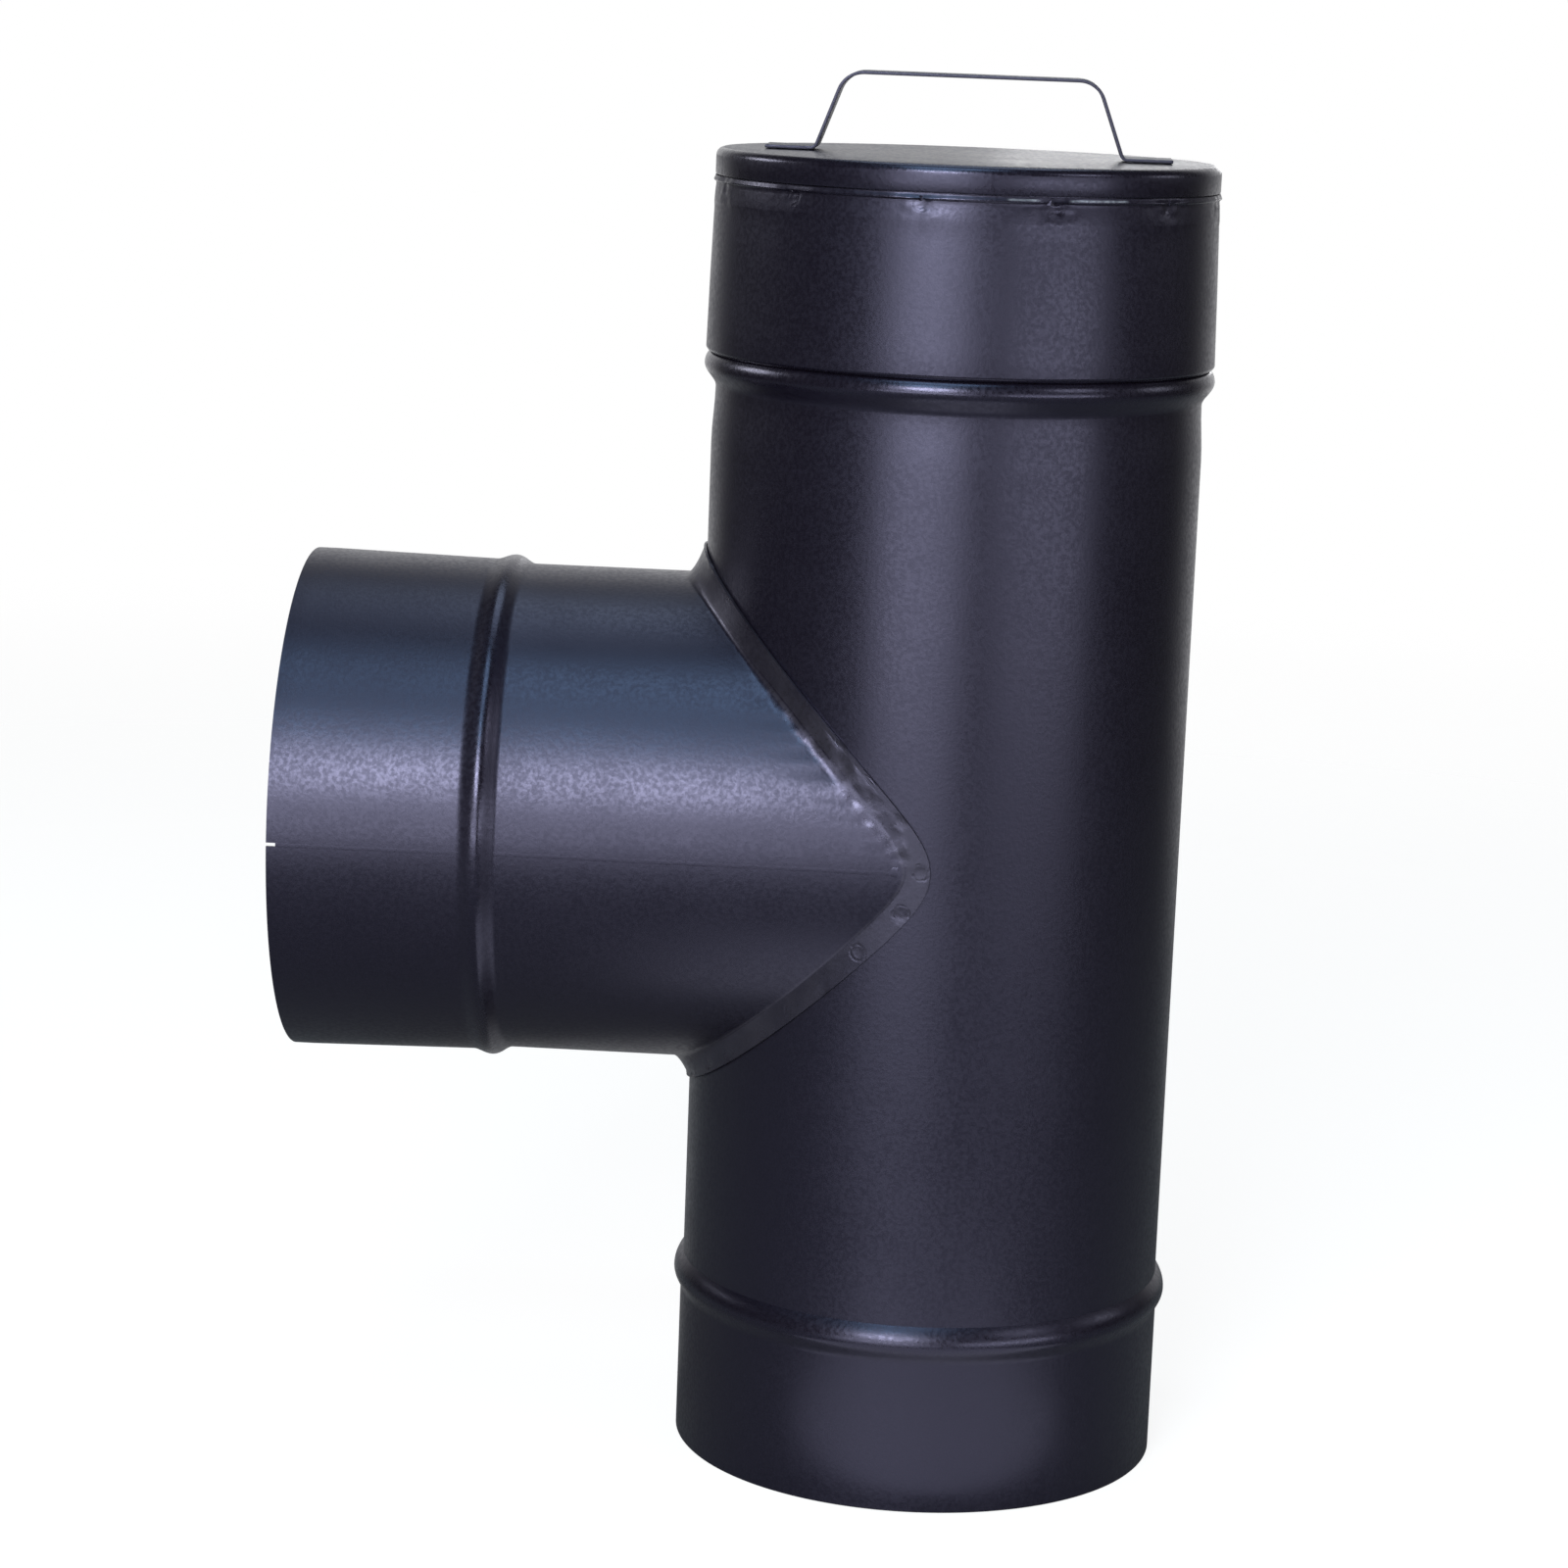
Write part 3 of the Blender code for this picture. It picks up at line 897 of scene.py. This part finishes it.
@dataclass
class Branch(Sheetwork):
    """Rolled branch with a bead, a socket, a seam and the saddle folded from its own sheet."""

    paint: bpy.types.Material
    columns: int = 768
    pipe_radius: float = 0.0750
    crease_tip: float = 0.0078
    saddle_width: float = 0.0070
    saddle_crown: float = 0.0030
    saddle_bend: float = 0.0015
    crotch_setback: float = 0.0048
    crotch_slope: float = 0.8
    crotch_power: int = 4
    crotch_fade: int = 20
    flange_seat: float = 0.0010
    run_slope: float = 0.85
    run_setback: float = 0.0013
    run_fade: float = 0.3
    fold_round: float = 0.0013
    fold_soft: float = 0.0028
    fold_calm: float = 0.0015
    fold_limit: float = 0.85
    fold_steps: int = 6
    worked_start: float = 0.4
    worked_rise: float = 8
    worked_end: float = 0.75
    worked_fall: float = 6
    crumple_reach: float = 0.0065
    crumple_power: float = 0.5
    crumple_end: float = 2
    crumple_least: float = 0.2
    crumple_rub: float = 0.7
    bend_steps: int = 8
    flange_steps: int = 7
    wall_rows: int = 6
    socket_length: float = 0.0620
    socket_oversize: float = 0.0011
    mouth_oversize: float = 0.0021
    mouth_straight: float = 0.0060
    bead_rise: float = 0.0026
    bead_width: float = 0.0120
    bead_steps: int = 9
    notch_depth: float = 0.0028
    notch_width: float = 0.0011
    notch_clear: float = 1.5
    seam_turn: float = 1.5 * math.pi
    seam_width: float = 0.0040
    seam_crown: float = 0.0002
    seam_rise: float = 0.000015
    weld_pitch: float = 0.0155
    weld_radius: float = 0.0025
    weld_depth: float = 0.00022
    weld_wander: float = 0.0009
    crumple_depth: float = 0.00050
    crumple_size: float = 0.0070
    saddle_radius: float = field(init=False)
    middle: float = field(init=False)
    run: float = field(init=False)

    def __post_init__(self) -> None:
        """Works out the radii that meet at the saddle."""
        self.saddle_radius = self.pipe_radius + self.sizes.clearance + self.sizes.sheet / 2
        self.middle = math.sqrt(self.saddle_radius ** 2 - self.crease_tip ** 2)

    def outline(self) -> Outline:
        """Middle of the sheet from the mouth inwards, as radius and distance to the pipe axis."""
        mouth = self.middle + self.mouth_oversize
        half = self.bead_width / 2
        ring = bead(self.sizes.reach - self.socket_length, half, half, self.middle + self.bead_rise,
                    self.middle, self.middle + self.socket_oversize, self.bead_steps)
        points = [(mouth, self.sizes.reach), (mouth, self.sizes.reach - self.notch_depth)]
        return points + [(mouth, self.sizes.reach - self.mouth_straight)] + ring[::-1]

    def turns(self) -> np.ndarray:
        """Angles of the loft's columns about the branch axis, with two at the notch's sides."""
        half = self.notch_width / 2 / (self.middle + self.mouth_oversize)
        even = np.arange(self.columns) * 2 * math.pi / self.columns
        kept = even[np.abs(even - self.seam_turn) > half * self.notch_clear]
        return np.sort(np.concatenate([kept, [self.seam_turn - half, self.seam_turn + half]]))

    def saddle(self, turns: np.ndarray, distance: np.ndarray | float) -> np.ndarray:
        """Points at a distance outside the crease, wrapped round the pipe.

        Args:
            turns: Angles about the branch axis.
            distance: Distance from the crease, across the flange.

        Returns:
            One point for each angle.
        """
        lean = np.arcsin(self.middle * np.sin(turns) / self.saddle_radius)
        out = np.stack([np.sin(turns), np.cos(turns) / np.cos(lean)])
        out /= np.linalg.norm(out, axis=0)
        arc = self.saddle_radius * lean + distance * out[0]
        height = self.sizes.branch_level + self.middle * np.cos(turns) + distance * out[1]
        angle = arc / self.saddle_radius
        ahead = -self.saddle_radius * np.cos(angle)
        return np.stack([ahead, self.saddle_radius * np.sin(angle), height], axis=1)

    def worked(self, turns: np.ndarray) -> np.ndarray:
        """How far the crease was worked by hand at each angle: most along the upper run.

        Args:
            turns: Angles about the branch axis.

        Returns:
            A share from 0 to 1 for each angle.
        """
        rise = np.cos(turns)
        begun = np.clip(rise * self.worked_rise + self.worked_start, 0.0, 1.0)
        return begun * np.clip((self.worked_end - rise) * self.worked_fall, 0.0, 1.0)

    @staticmethod
    def fold(start: np.ndarray, corner: np.ndarray, end: np.ndarray, share: float) -> np.ndarray:
        """Points part of the way round a fold.

        Args:
            start: Where the sheet leaves its first side, for each column.
            corner: Where its two sides would meet.
            end: Where it joins its second side.
            share: How far round, from 0 to 1.

        Returns:
            One point for each column.
        """
        return (1 - share) ** 2 * start + 2 * share * (1 - share) * corner + share ** 2 * end

    def rows(self, turns: np.ndarray) -> tuple[list[np.ndarray], list[float]]:
        """All rings of the loft and the distance of each from the crease, over the flange.

        Args:
            turns: Angles of the columns.

        Returns:
            The rings, and for each its distance across the flange.
        """
        ringed = [np.stack([np.full_like(turns, -distance), radius * np.sin(turns),
                            self.sizes.branch_level + radius * np.cos(turns)], axis=1)
                  for radius, distance in self.outline()]
        across = [-1.0] * (len(ringed) + self.wall_rows)
        corner = self.saddle(turns, 0.0)
        square = np.cos(turns) ** self.crotch_power
        width = self.saddle_width + self.saddle_crown * np.maximum(0.0, np.cos(turns)) ** self.crotch_power
        under = np.cos(turns) < 0
        upper = np.clip(np.cos(turns) / self.run_fade, 0.0, 1.0)
        sloped = np.maximum(square, self.run_slope * upper ** 2 * (3 - 2 * upper))
        crotch = np.maximum(np.maximum(0.0, np.cos(turns)) ** self.crotch_fade, square * under)
        setback = self.run_setback + (self.crotch_setback - self.run_setback) * crotch
        inward = np.array([1.0, 0.0, 0.0])
        start = corner - setback[:, None] * inward
        reach = self.saddle_bend + (width - self.flange_seat - self.saddle_bend) * sloped
        end = self.saddle(turns, reach)
        knee = corner + ((start + end) / 2 - corner) * (self.crotch_slope * sloped)[:, None]
        chord = knee - start
        soft = self.fold_round + (self.fold_soft - self.fold_round) * self.worked(turns)
        folded = start - soft[:, None] * inward
        leaving = start + chord * np.minimum(soft / np.linalg.norm(chord, axis=1), self.fold_limit)[:, None]
        first = ringed[-1]
        calm = folded - self.fold_calm * inward
        for share in shares(self.wall_rows):
            ringed.append(first * (1 - share) + calm * share)
        for share in shares(self.fold_steps, 0)[:-1]:
            ringed.append(self.fold(folded, start, leaving, share))
            across.append(self.fold_round * (2 * share - 1) - self.saddle_bend)
        for share in shares(self.bend_steps, 0):
            ringed.append(self.fold(leaving, knee, end, share))
            across.append(self.saddle_bend * (2 * share - 1))
        for share in shares(self.flange_steps):
            ringed.append(self.saddle(turns, reach + (width - reach) * share))
            across.append(self.saddle_bend + (self.saddle_width - self.saddle_bend) * share)
        return ringed, across

    def loft(self) -> bpy.types.Object:
        """Builds the open sheet with the place of each point along and across the weld row."""
        turns = self.turns()
        ringed, across = self.rows(turns)
        count = len(turns)
        gap = int(np.argmin(np.abs((turns + np.roll(turns, -1)) / 2 - self.seam_turn)[:-1]))
        faces = []
        for row in range(len(ringed) - 1):
            for column in range(count):
                if row == 0 and column == gap:
                    continue
                after = (column + 1) % count
                faces.append((row * count + column, (row + 1) * count + column,
                              (row + 1) * count + after, row * count + after))
        made = raw_object("branch_raw", np.concatenate(ringed).tolist(), [], faces)
        centre = (self.saddle_bend + self.saddle_width) / 2
        middle = self.saddle(turns, centre)
        steps = np.linalg.norm(np.roll(middle, -1, axis=0) - middle, axis=1)
        along = np.concatenate([[0.0], np.cumsum(steps)[:-1]])
        self.run = float(steps.sum())
        upper = self.crumple_least + (1 - self.crumple_least) * self.worked(turns)
        crumple = []
        for distance in across:
            near = max(0.0, 1 - abs(distance + self.saddle_bend) / self.crumple_reach) ** self.crumple_power
            near *= min(1.0, max(0.0, self.crumple_end - distance / self.saddle_bend))
            crumple.append(near * upper)
        worn = rubbed(self.outline())
        worn += [0.0] * (len(ringed) - len(worn))
        lumpy = np.concatenate(crumple)
        mark(made, "weld_along", np.tile(along, len(ringed)))
        mark(made, "weld_across", np.repeat(np.array(across) - centre, count))
        mark(made, "crumple", lumpy)
        # Marks the fold, bend and flange rows for the painted light that lightens the saddle band.
        mark(made, "scuffed", np.repeat((np.array(across) > -self.saddle_bend).astype(float), count))
        mark(made, "rubbed", np.maximum(np.repeat(worn, count), lumpy * self.crumple_rub))
        return made

    def build(self) -> None:
        """Builds the branch and its seam."""
        made = self.loft()
        count = round(self.run / self.weld_pitch)
        nodes_modifier(made, self.trees.welds, {
            "Pitch": self.run / count, "Count": count, "Phase": self.weld_pitch / 2,
            "Radius": self.weld_radius, "Depth": self.weld_depth, "Wander": self.weld_wander, "Seed": 7,
            "Crumple Depth": self.crumple_depth, "Crumple Size": self.crumple_size, "Material": self.paint})
        wall(made, self.sizes.sheet, 0.0)
        piece = settle(made, "branch_shell", self.sizes.axis_x)
        self.fit(piece, Body.TEE, Slot.BRANCH, "branch_pipe")
        outside = self.sizes.sheet / 2 - self.seam_crown + self.seam_rise
        level = self.sizes.branch_level
        path = [(-distance, -radius - outside, level) for radius, distance in self.outline()[1:]]
        tip = self.saddle(np.array([0.5 * math.pi]), 0.0)[0]
        end = float(tip[0]) - self.run_setback - self.fold_round
        path.append((end, -self.middle - outside, level))
        seam = self.seam("branch_seam", path, self.seam_width, self.seam_crown, self.paint)
        self.fit(seam, Body.TEE, Slot.BRANCH)


@dataclass
class Cap(Sheetwork):
    """Lift-off cap: skirt, pressed lid and strap handle."""

    paint: bpy.types.Material
    strap_paint: bpy.types.Material
    segments: int = 512
    skirt_straight: float = 0.0025
    edge_flare: float = 0.00045
    edge_pull: float = 0.00040
    edge_round: float = 0.0002
    edge_face: float = 0.0011
    edge_steps: int = 4
    edge_under: float = 0.9
    throat_depth: float = 0.0020
    throat_rise: float = 0.00005
    lap_length: float = 0.0092
    lap_step: float = 0.00012
    lap_lead: float = 0.0012
    lap_drop: float = 0.0004
    lap_clear: float = 0.004
    lap_fade: float = 0.02
    skirt_dish: float = 0.00030
    dish_points: int = 13
    body_points: int = 6
    lip_height: float = 0.0014
    lip_curl: float = 0.0011
    lip_steps: int = 6
    lid_rings: Triple = (0.0, 0.45, 0.85)
    lid_corner: float = 0.0025
    corner_steps: int = 8
    rim_edge: float = 0.0004
    rim_bend: float = 0.0001
    rim_tuck: float = 0.00012
    weld_count: int = 12
    weld_drop: float = 0.0032
    # Height of the worn edge line, whose glint is painted in, above the weld row.
    bare_glint_level: float = 0.0024
    weld_radius: float = 0.0022
    weld_depth: float = 0.00030
    weld_wander: float = 0.0006
    weld_start: float = -99.8
    weld_halo: float = 0.0120
    crumple_depth: float = 0.00058
    crumple_size: float = 0.0050
    strap_thickness: float = 0.0010
    strap_width: float = 0.0200
    strap_edge: float = 0.00018
    strap_cells: int = 24
    strap_cell: float = 0.0009
    half_top: float = 0.0378
    half_base: float = 0.0463
    foot_length: float = 0.0150
    top_bend: float = 0.0080
    foot_bend: float = 0.0020
    arc_steps: int = 10
    foot_weld_place: float = 0.52
    foot_weld_pitch: float = 0.0100
    foot_weld_radius: float = 0.0022
    foot_weld_depth: float = 0.00012
    foot_weld_wander: float = 0.0004

    def skirt_outline(self) -> Outline:
        """Outside of the skirt from the joint down to the curled lip."""
        top = self.sizes.skirt_top
        radius = self.sizes.lid_radius
        wide = self.sizes.skirt_radius
        bottom = self.sizes.skirt_foot + self.lip_height
        upper = top - self.skirt_straight
        lap_end = top - self.lap_length

        def at(level: float) -> float:
            """Radius of the flaring skirt at a height."""
            return radius + (wide - radius) * (upper - level) / (upper - bottom)

        edge = top - self.edge_round
        points = [(radius, top), (radius, edge)]
        for share in shares(self.edge_steps):
            points.append((radius + self.edge_flare * share, edge - self.edge_face * share))
        points.append((radius + self.edge_flare * self.edge_under, edge - self.edge_face - self.edge_round))
        points.append((radius + self.throat_rise - self.skirt_dish, top - self.throat_depth))
        points.append((radius - self.skirt_dish, upper))
        for level in np.linspace(upper, lap_end + self.lap_lead, self.dish_points)[1:].tolist():
            dish = self.skirt_dish * ((level - lap_end) / (upper - lap_end)) ** 2
            points.append((at(level) - dish, level))
        points.append((at(lap_end) - self.lap_step, lap_end - self.lap_drop))
        for level in np.linspace(lap_end - self.lap_clear, bottom, self.body_points).tolist():
            fade = max(0.0, 1 - (lap_end - level) / self.lap_fade)
            points.append((at(level) - self.lap_step * fade, level))
        for share in shares(self.lip_steps):
            points.append((wide - self.lip_curl * share ** 2, bottom - self.lip_height * share))
        return points

    def lid_outline(self) -> Outline:
        """Outside of the lid from its middle down to the end of the inner flange."""
        top = self.sizes.lid_top
        radius = self.sizes.lid_radius
        joint = self.sizes.skirt_top + self.sizes.clearance
        flange = radius - self.sizes.sheet - self.sizes.clearance
        points = [(radius * share, top) for share in self.lid_rings]
        for share in shares(self.corner_steps, 0):
            angle = math.pi / 2 * (1 - share)
            points.append((radius - self.lid_corner + self.lid_corner * math.cos(angle),
                           top - self.lid_corner + self.lid_corner * math.sin(angle)))
        points += [(radius, joint + self.rim_edge), (radius - self.rim_tuck, joint + self.rim_bend)]
        return points + [(radius - self.rim_edge, joint), (flange, joint), (flange, self.sizes.lid_foot)]

    def strap_path(self) -> Outline:
        """Middle of the strap from one foot over the top to the other, as X and height."""
        foot_level = self.sizes.lid_top + self.sizes.clearance + self.strap_thickness / 2
        top_level = self.sizes.handle_top - self.strap_thickness / 2
        half = [(self.half_base + self.foot_length, foot_level), (self.half_base, foot_level),
                (self.half_top, top_level)]
        corners = [(-x, z) for x, z in half] + half[::-1]
        bends = [self.foot_bend, self.top_bend, self.top_bend, self.foot_bend]
        path = [corners[0]]
        for before, corner, after, bend in zip(corners, corners[1:], corners[2:], bends):
            path += self._arc(Vector(before), Vector(corner), Vector(after), bend)
        return path + [corners[-1]]

    def _arc(self, before: Vector, corner: Vector, after: Vector, radius: float) -> Outline:
        """Points of the arc that rounds a corner of a path.

        Args:
            before: Point before the corner.
            corner: The corner.
            after: Point after it.
            radius: Radius of the arc.

        Returns:
            The arc's points.
        """
        back = (before - corner).normalized()
        ahead = (after - corner).normalized()
        half = back.angle(ahead) / 2
        centre = corner + (back + ahead).normalized() * (radius / math.sin(half))
        first = corner + back * (radius / math.tan(half)) - centre
        last = corner + ahead * (radius / math.tan(half)) - centre
        swing = math.pi - 2 * half
        points = []
        for share in shares(self.arc_steps, 0):
            blend = first * math.sin((1 - share) * swing) + last * math.sin(share * swing)
            points.append(tuple(centre + blend / math.sin(swing)))
        return points

    def strap(self) -> bpy.types.Object:
        """Builds the strap as a fine strip along its path."""
        coarse = self.strap_path()
        path = [coarse[0]]
        for near, far in zip(coarse, coarse[1:]):
            for share in shares(max(1, round(math.dist(near, far) / self.strap_cell))):
                path.append((near[0] + (far[0] - near[0]) * share, near[1] + (far[1] - near[1]) * share))
        levels = np.linspace(-self.strap_width / 2, self.strap_width / 2, self.strap_cells + 1).tolist()
        points = [(x, y, z) for x, z in path for y in levels]
        width = len(levels)
        faces = [(i * width + j, (i + 1) * width + j, (i + 1) * width + j + 1, i * width + j + 1)
                 for i in range(len(path) - 1) for j in range(width - 1)]
        made = raw_object("strap_raw", points, [], faces)
        foot = self.half_base + self.foot_length * self.foot_weld_place
        x, y, _ = np.array(points).T
        mark(made, "weld_along", y + self.foot_weld_pitch / 2)
        mark(made, "weld_across", np.abs(x) - foot)
        return made

    def build(self) -> None:
        """Builds the cap's three pieces."""
        ring = self.sizes.lid_radius
        skirt = self.turned("skirt_raw", self.skirt_outline(), self.segments, self.paint, ring,
                            self.sizes.skirt_top - self.weld_drop)
        nodes_modifier(skirt, self.trees.welds, {
            "Pitch": 2 * math.pi * ring / self.weld_count, "Count": self.weld_count,
            "Phase": math.radians(self.weld_start) * ring, "Radius": self.weld_radius,
            "Depth": self.weld_depth, "Wander": self.weld_wander, "Seed": 3,
            "Crumple Depth": self.crumple_depth, "Crumple Size": self.crumple_size, "Halo": self.weld_halo,
            "Pull": self.edge_pull, "Edge": self.weld_drop, "Material": self.paint})
        wall(skirt, self.sizes.sheet, -1.0, even=False)
        self.fit(settle(skirt, "cap_skirt_band", self.sizes.axis_x), Body.CAP, Slot.CAP, "cap_skirt")
        lid = self.turned("lid_raw", self.lid_outline(), self.segments, self.paint, ring, 0.0)
        wall(lid, self.sizes.sheet, -1.0)
        self.fit(settle(lid, "cap_lid", self.sizes.axis_x), Body.CAP, Slot.CAP, "cap_disc")
        strap = self.strap()
        nodes_modifier(strap, self.trees.welds, {
            "Pitch": self.foot_weld_pitch, "Count": 100, "Radius": self.foot_weld_radius,
            "Depth": self.foot_weld_depth, "Wander": self.foot_weld_wander, "Seed": 5,
            "Material": self.strap_paint})
        wall(strap, self.strap_thickness, 0.0)
        edge = strap.modifiers.new("edge", "BEVEL")
        edge.width = self.strap_edge
        edge.segments = 2
        edge.angle_limit = math.radians(60)
        self.fit(settle(strap, "cap_strap_handle", self.sizes.axis_x), Body.CAP, Slot.STRAP, "cap_handle")


@dataclass(frozen=True)
class SoftBox:
    """One soft lamp, placed by where it stands round the object."""

    name: str
    azimuth: float
    elevation: float
    distance: float
    width: float
    height: float
    power: float
    colour: Triple = (1.0, 1.0, 1.0)
    lying: bool = False
    lying_height: float = 0.002

    def build(self, target: Vector) -> None:
        """Adds the lamp.

        Args:
            target: The point that it faces.
        """
        turn = math.radians(self.azimuth)
        lift = math.radians(self.elevation)
        out = Vector((math.sin(turn) * math.cos(lift), -math.cos(turn) * math.cos(lift), math.sin(lift)))
        data = bpy.data.lights.new(self.name, "AREA")
        data.shape = "RECTANGLE"
        data.size = self.width
        data.size_y = self.height
        data.energy = self.power
        data.color = self.colour
        lamp = bpy.data.objects.new(self.name, data)
        lamp.location = target + out * self.distance
        lamp.rotation_euler = (-out).to_track_quat("-Z", "Y").to_euler()
        if self.lying:
            lamp.location.z = self.lying_height
            lamp.rotation_euler = (math.pi, 0.0, turn)
        lamp.visible_camera = False
        bpy.context.scene.collection.objects.link(lamp)


@dataclass
class Studio:
    """Floor, lamps, surround and camera."""

    axis_x: float
    target_height: float = 0.2
    floor_radius: float = 3.0
    floor_drop: float = 0.0002
    fade_start: float = 0.7
    fade_end: float = 1.9
    floor_colour: float = 0.25
    floor_lift: float = 0.86
    ambient: float = 0.05
    rear_start: float = 0.65
    rear_full: float = 1.00
    floor_mirror: float = 0.35
    eye: Triple = (0.0168, -1.2594, 0.4517)
    yaw: float = -2.979
    pitch: float = 10.931
    roll: float = 2.187
    focal_pixels: float = 4198.4
    image_pixels: float = 1600.0
    sensor: float = 36.0

    def camera(self) -> None:
        """Adds the camera at the photograph's place and angle."""
        yaw, pitch, roll = (math.radians(angle) for angle in (self.yaw, self.pitch, self.roll))
        ahead = Vector((math.sin(yaw) * math.cos(pitch), math.cos(yaw) * math.cos(pitch), -math.sin(pitch)))
        level = Vector((math.cos(yaw), -math.sin(yaw), 0.0))
        up = level.cross(ahead)
        right = level * math.cos(roll) + up * math.sin(roll)
        upright = up * math.cos(roll) - level * math.sin(roll)
        data = bpy.data.cameras.new("camera")
        data.sensor_width = self.sensor
        data.lens = self.sensor * self.focal_pixels / self.image_pixels
        data.clip_start = 0.01
        camera = bpy.data.objects.new("camera", data)
        turned = Matrix((right, upright, -ahead)).transposed().to_4x4()
        place = Vector(self.eye) + Vector((self.axis_x, 0.0, 0.0))
        camera.matrix_world = Matrix.Translation(place) @ turned
        bpy.context.scene.collection.objects.link(camera)
        bpy.context.scene.camera = camera

    def floor(self) -> None:
        """Adds a pale floor that fades into the surround."""
        bpy.ops.mesh.primitive_circle_add(vertices=96, radius=self.floor_radius, fill_type="NGON",
                                          location=(0.0, 0.0, -self.floor_drop))
        ground = bpy.context.object
        ground.name = "studio_floor"
        material = bpy.data.materials.new("studio_floor")
        material.use_nodes = True
        build = NodeBuilder(material.node_tree)
        place = build.read("ShaderNodeTexCoord", "Object")
        away = build.read("ShaderNodeVectorMath", "Value", {0: place}, operation="LENGTH")
        seen = self.showing(build, place, away, self.floor_mirror)
        grey = self.floor_colour
        build.fill(material.node_tree.nodes["Principled BSDF"], {
            "Base Color": (grey, grey, grey, 1.0), "Roughness": 0.9, "Specular IOR Level": 0.1,
            "Alpha": build.ramp(away, self.fade_start, self.fade_end, 1.0, 0.0),
            "Emission Color": (1.0, 1.0, 1.0, 1.0), "Emission Strength": seen * self.floor_lift})
        ground.data.materials.append(material)

    def showing(self, build: NodeBuilder, vector: Signal, level: object, mirror: float) -> Signal:
        """How far the white surround shows: to the eye all round, in reflections behind the object.

        Args:
            build: The material's builder.
            vector: The direction, level or not.
            level: The length to measure the direction by.
            mirror: How bright it is in reflections.

        Returns:
            A share from 0 to 1.
        """
        path = build.outputs("ShaderNodeLightPath")
        away = build.outputs("ShaderNodeSeparateXYZ", {0: vector})["Y"]
        rear = build.ramp(away / level, self.rear_start, self.rear_full)
        mirrored = build.math("MAXIMUM", path["Is Glossy Ray"], path["Is Transmission Ray"])
        return build.math("MAXIMUM", path["Is Camera Ray"], mirrored * rear * mirror)

    def surround(self) -> None:
        """Lights the surround: white where it shows, dim as light."""
        world = bpy.data.worlds.new("studio_surround")
        world.use_nodes = True
        bpy.context.scene.world = world
        build = NodeBuilder(world.node_tree)
        seen = self.showing(build, build.read("ShaderNodeTexCoord", "Generated"), 1.0, 1.0)
        build.fill(world.node_tree.nodes["Background"], {
            "Color": (1.0, 1.0, 1.0, 1.0),
            "Strength": build.ramp(seen, 0.0, 1.0, self.ambient, 1.0, smooth=False)})

    def build(self) -> None:
        """Builds the whole studio."""
        self.camera()
        self.floor()
        self.surround()
        target = Vector((self.axis_x, 0.0, self.target_height))
        lamps = (SoftBox("front_box", -12.5, 22.0, 1.6, 0.53, 0.46, 14.8),
                 SoftBox("upper_box", -15.0, 41.0, 1.6, 0.45, 0.40, 3.2, (0.54, 0.86, 1.0)),
                 SoftBox("low_box", -14.0, -1.0, 1.6, 1.10, 0.33, 5.7),
                 SoftBox("side_box", 42.0, 2.0, 1.6, 1.25, 0.36, 5.1),
                 SoftBox("top_box", -14.0, 67.0, 1.6, 0.70, 0.70, 5.2, (0.54, 0.84, 1.0)),
                 SoftBox("left_box", -106.0, 24.0, 1.6, 0.50, 0.40, 4.0),
                 SoftBox("window_box", 56.0, 34.0, 1.6, 0.50, 0.50, 2.0),
                 SoftBox("right_box", 100.0, 20.0, 1.6, 0.40, 0.40, 0.9),
                 SoftBox("rear_box", 180.0, 70.0, 1.6, 0.90, 0.85, 4.0, (0.70, 0.86, 1.0)),
                 SoftBox("back_box", 172.0, 11.0, 1.6, 0.45, 0.20, 1.0),
                 SoftBox("floor_card", 6.0, 0.0, 0.168, 0.21, 0.165, 0.090, lying=True))
        for lamp in lamps:
            lamp.build(target)
        bpy.context.scene.view_settings.view_transform = "Standard"


def main() -> None:
    """Builds the tee's looks piece by piece, then the studio."""
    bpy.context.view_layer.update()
    sizes = FrameSizes()
    trees = GeometryTrees()
    groups = FinishGroups()
    pipe_paint = StovePaint("pipe_black").build(groups)
    branch_paint = StovePaint("branch_black", weld_radius=Branch.weld_radius).build(groups)
    # Spans of the cap's worn edge, where the pale painted highlight runs.
    worn = tuple((math.radians(start) * sizes.lid_radius, math.radians(end) * sizes.lid_radius)
                 for start, end in CHIPPED_GLINT_SPANS)
    cap_paint = StovePaint("cap_black", weld_radius=Cap.weld_radius, weld_groove=0.00005,
                           bare_glint_level=Cap.bare_glint_level, bare_glint_spans=worn).build(groups)
    strap_paint = StovePaint("strap_black", colour=(0.020, 0.020, 0.023, 1.0), roughness=0.45,
                             weld_radius=Cap.foot_weld_radius).build(groups)
    MainPipe(sizes, trees, pipe_paint).build()
    Branch(sizes, trees, branch_paint).build()
    Cap(sizes, trees, cap_paint, strap_paint).build()
    Studio(sizes.axis_x).build()


if __name__ == "__main__":
    logging.basicConfig(level=logging.INFO)
    main()
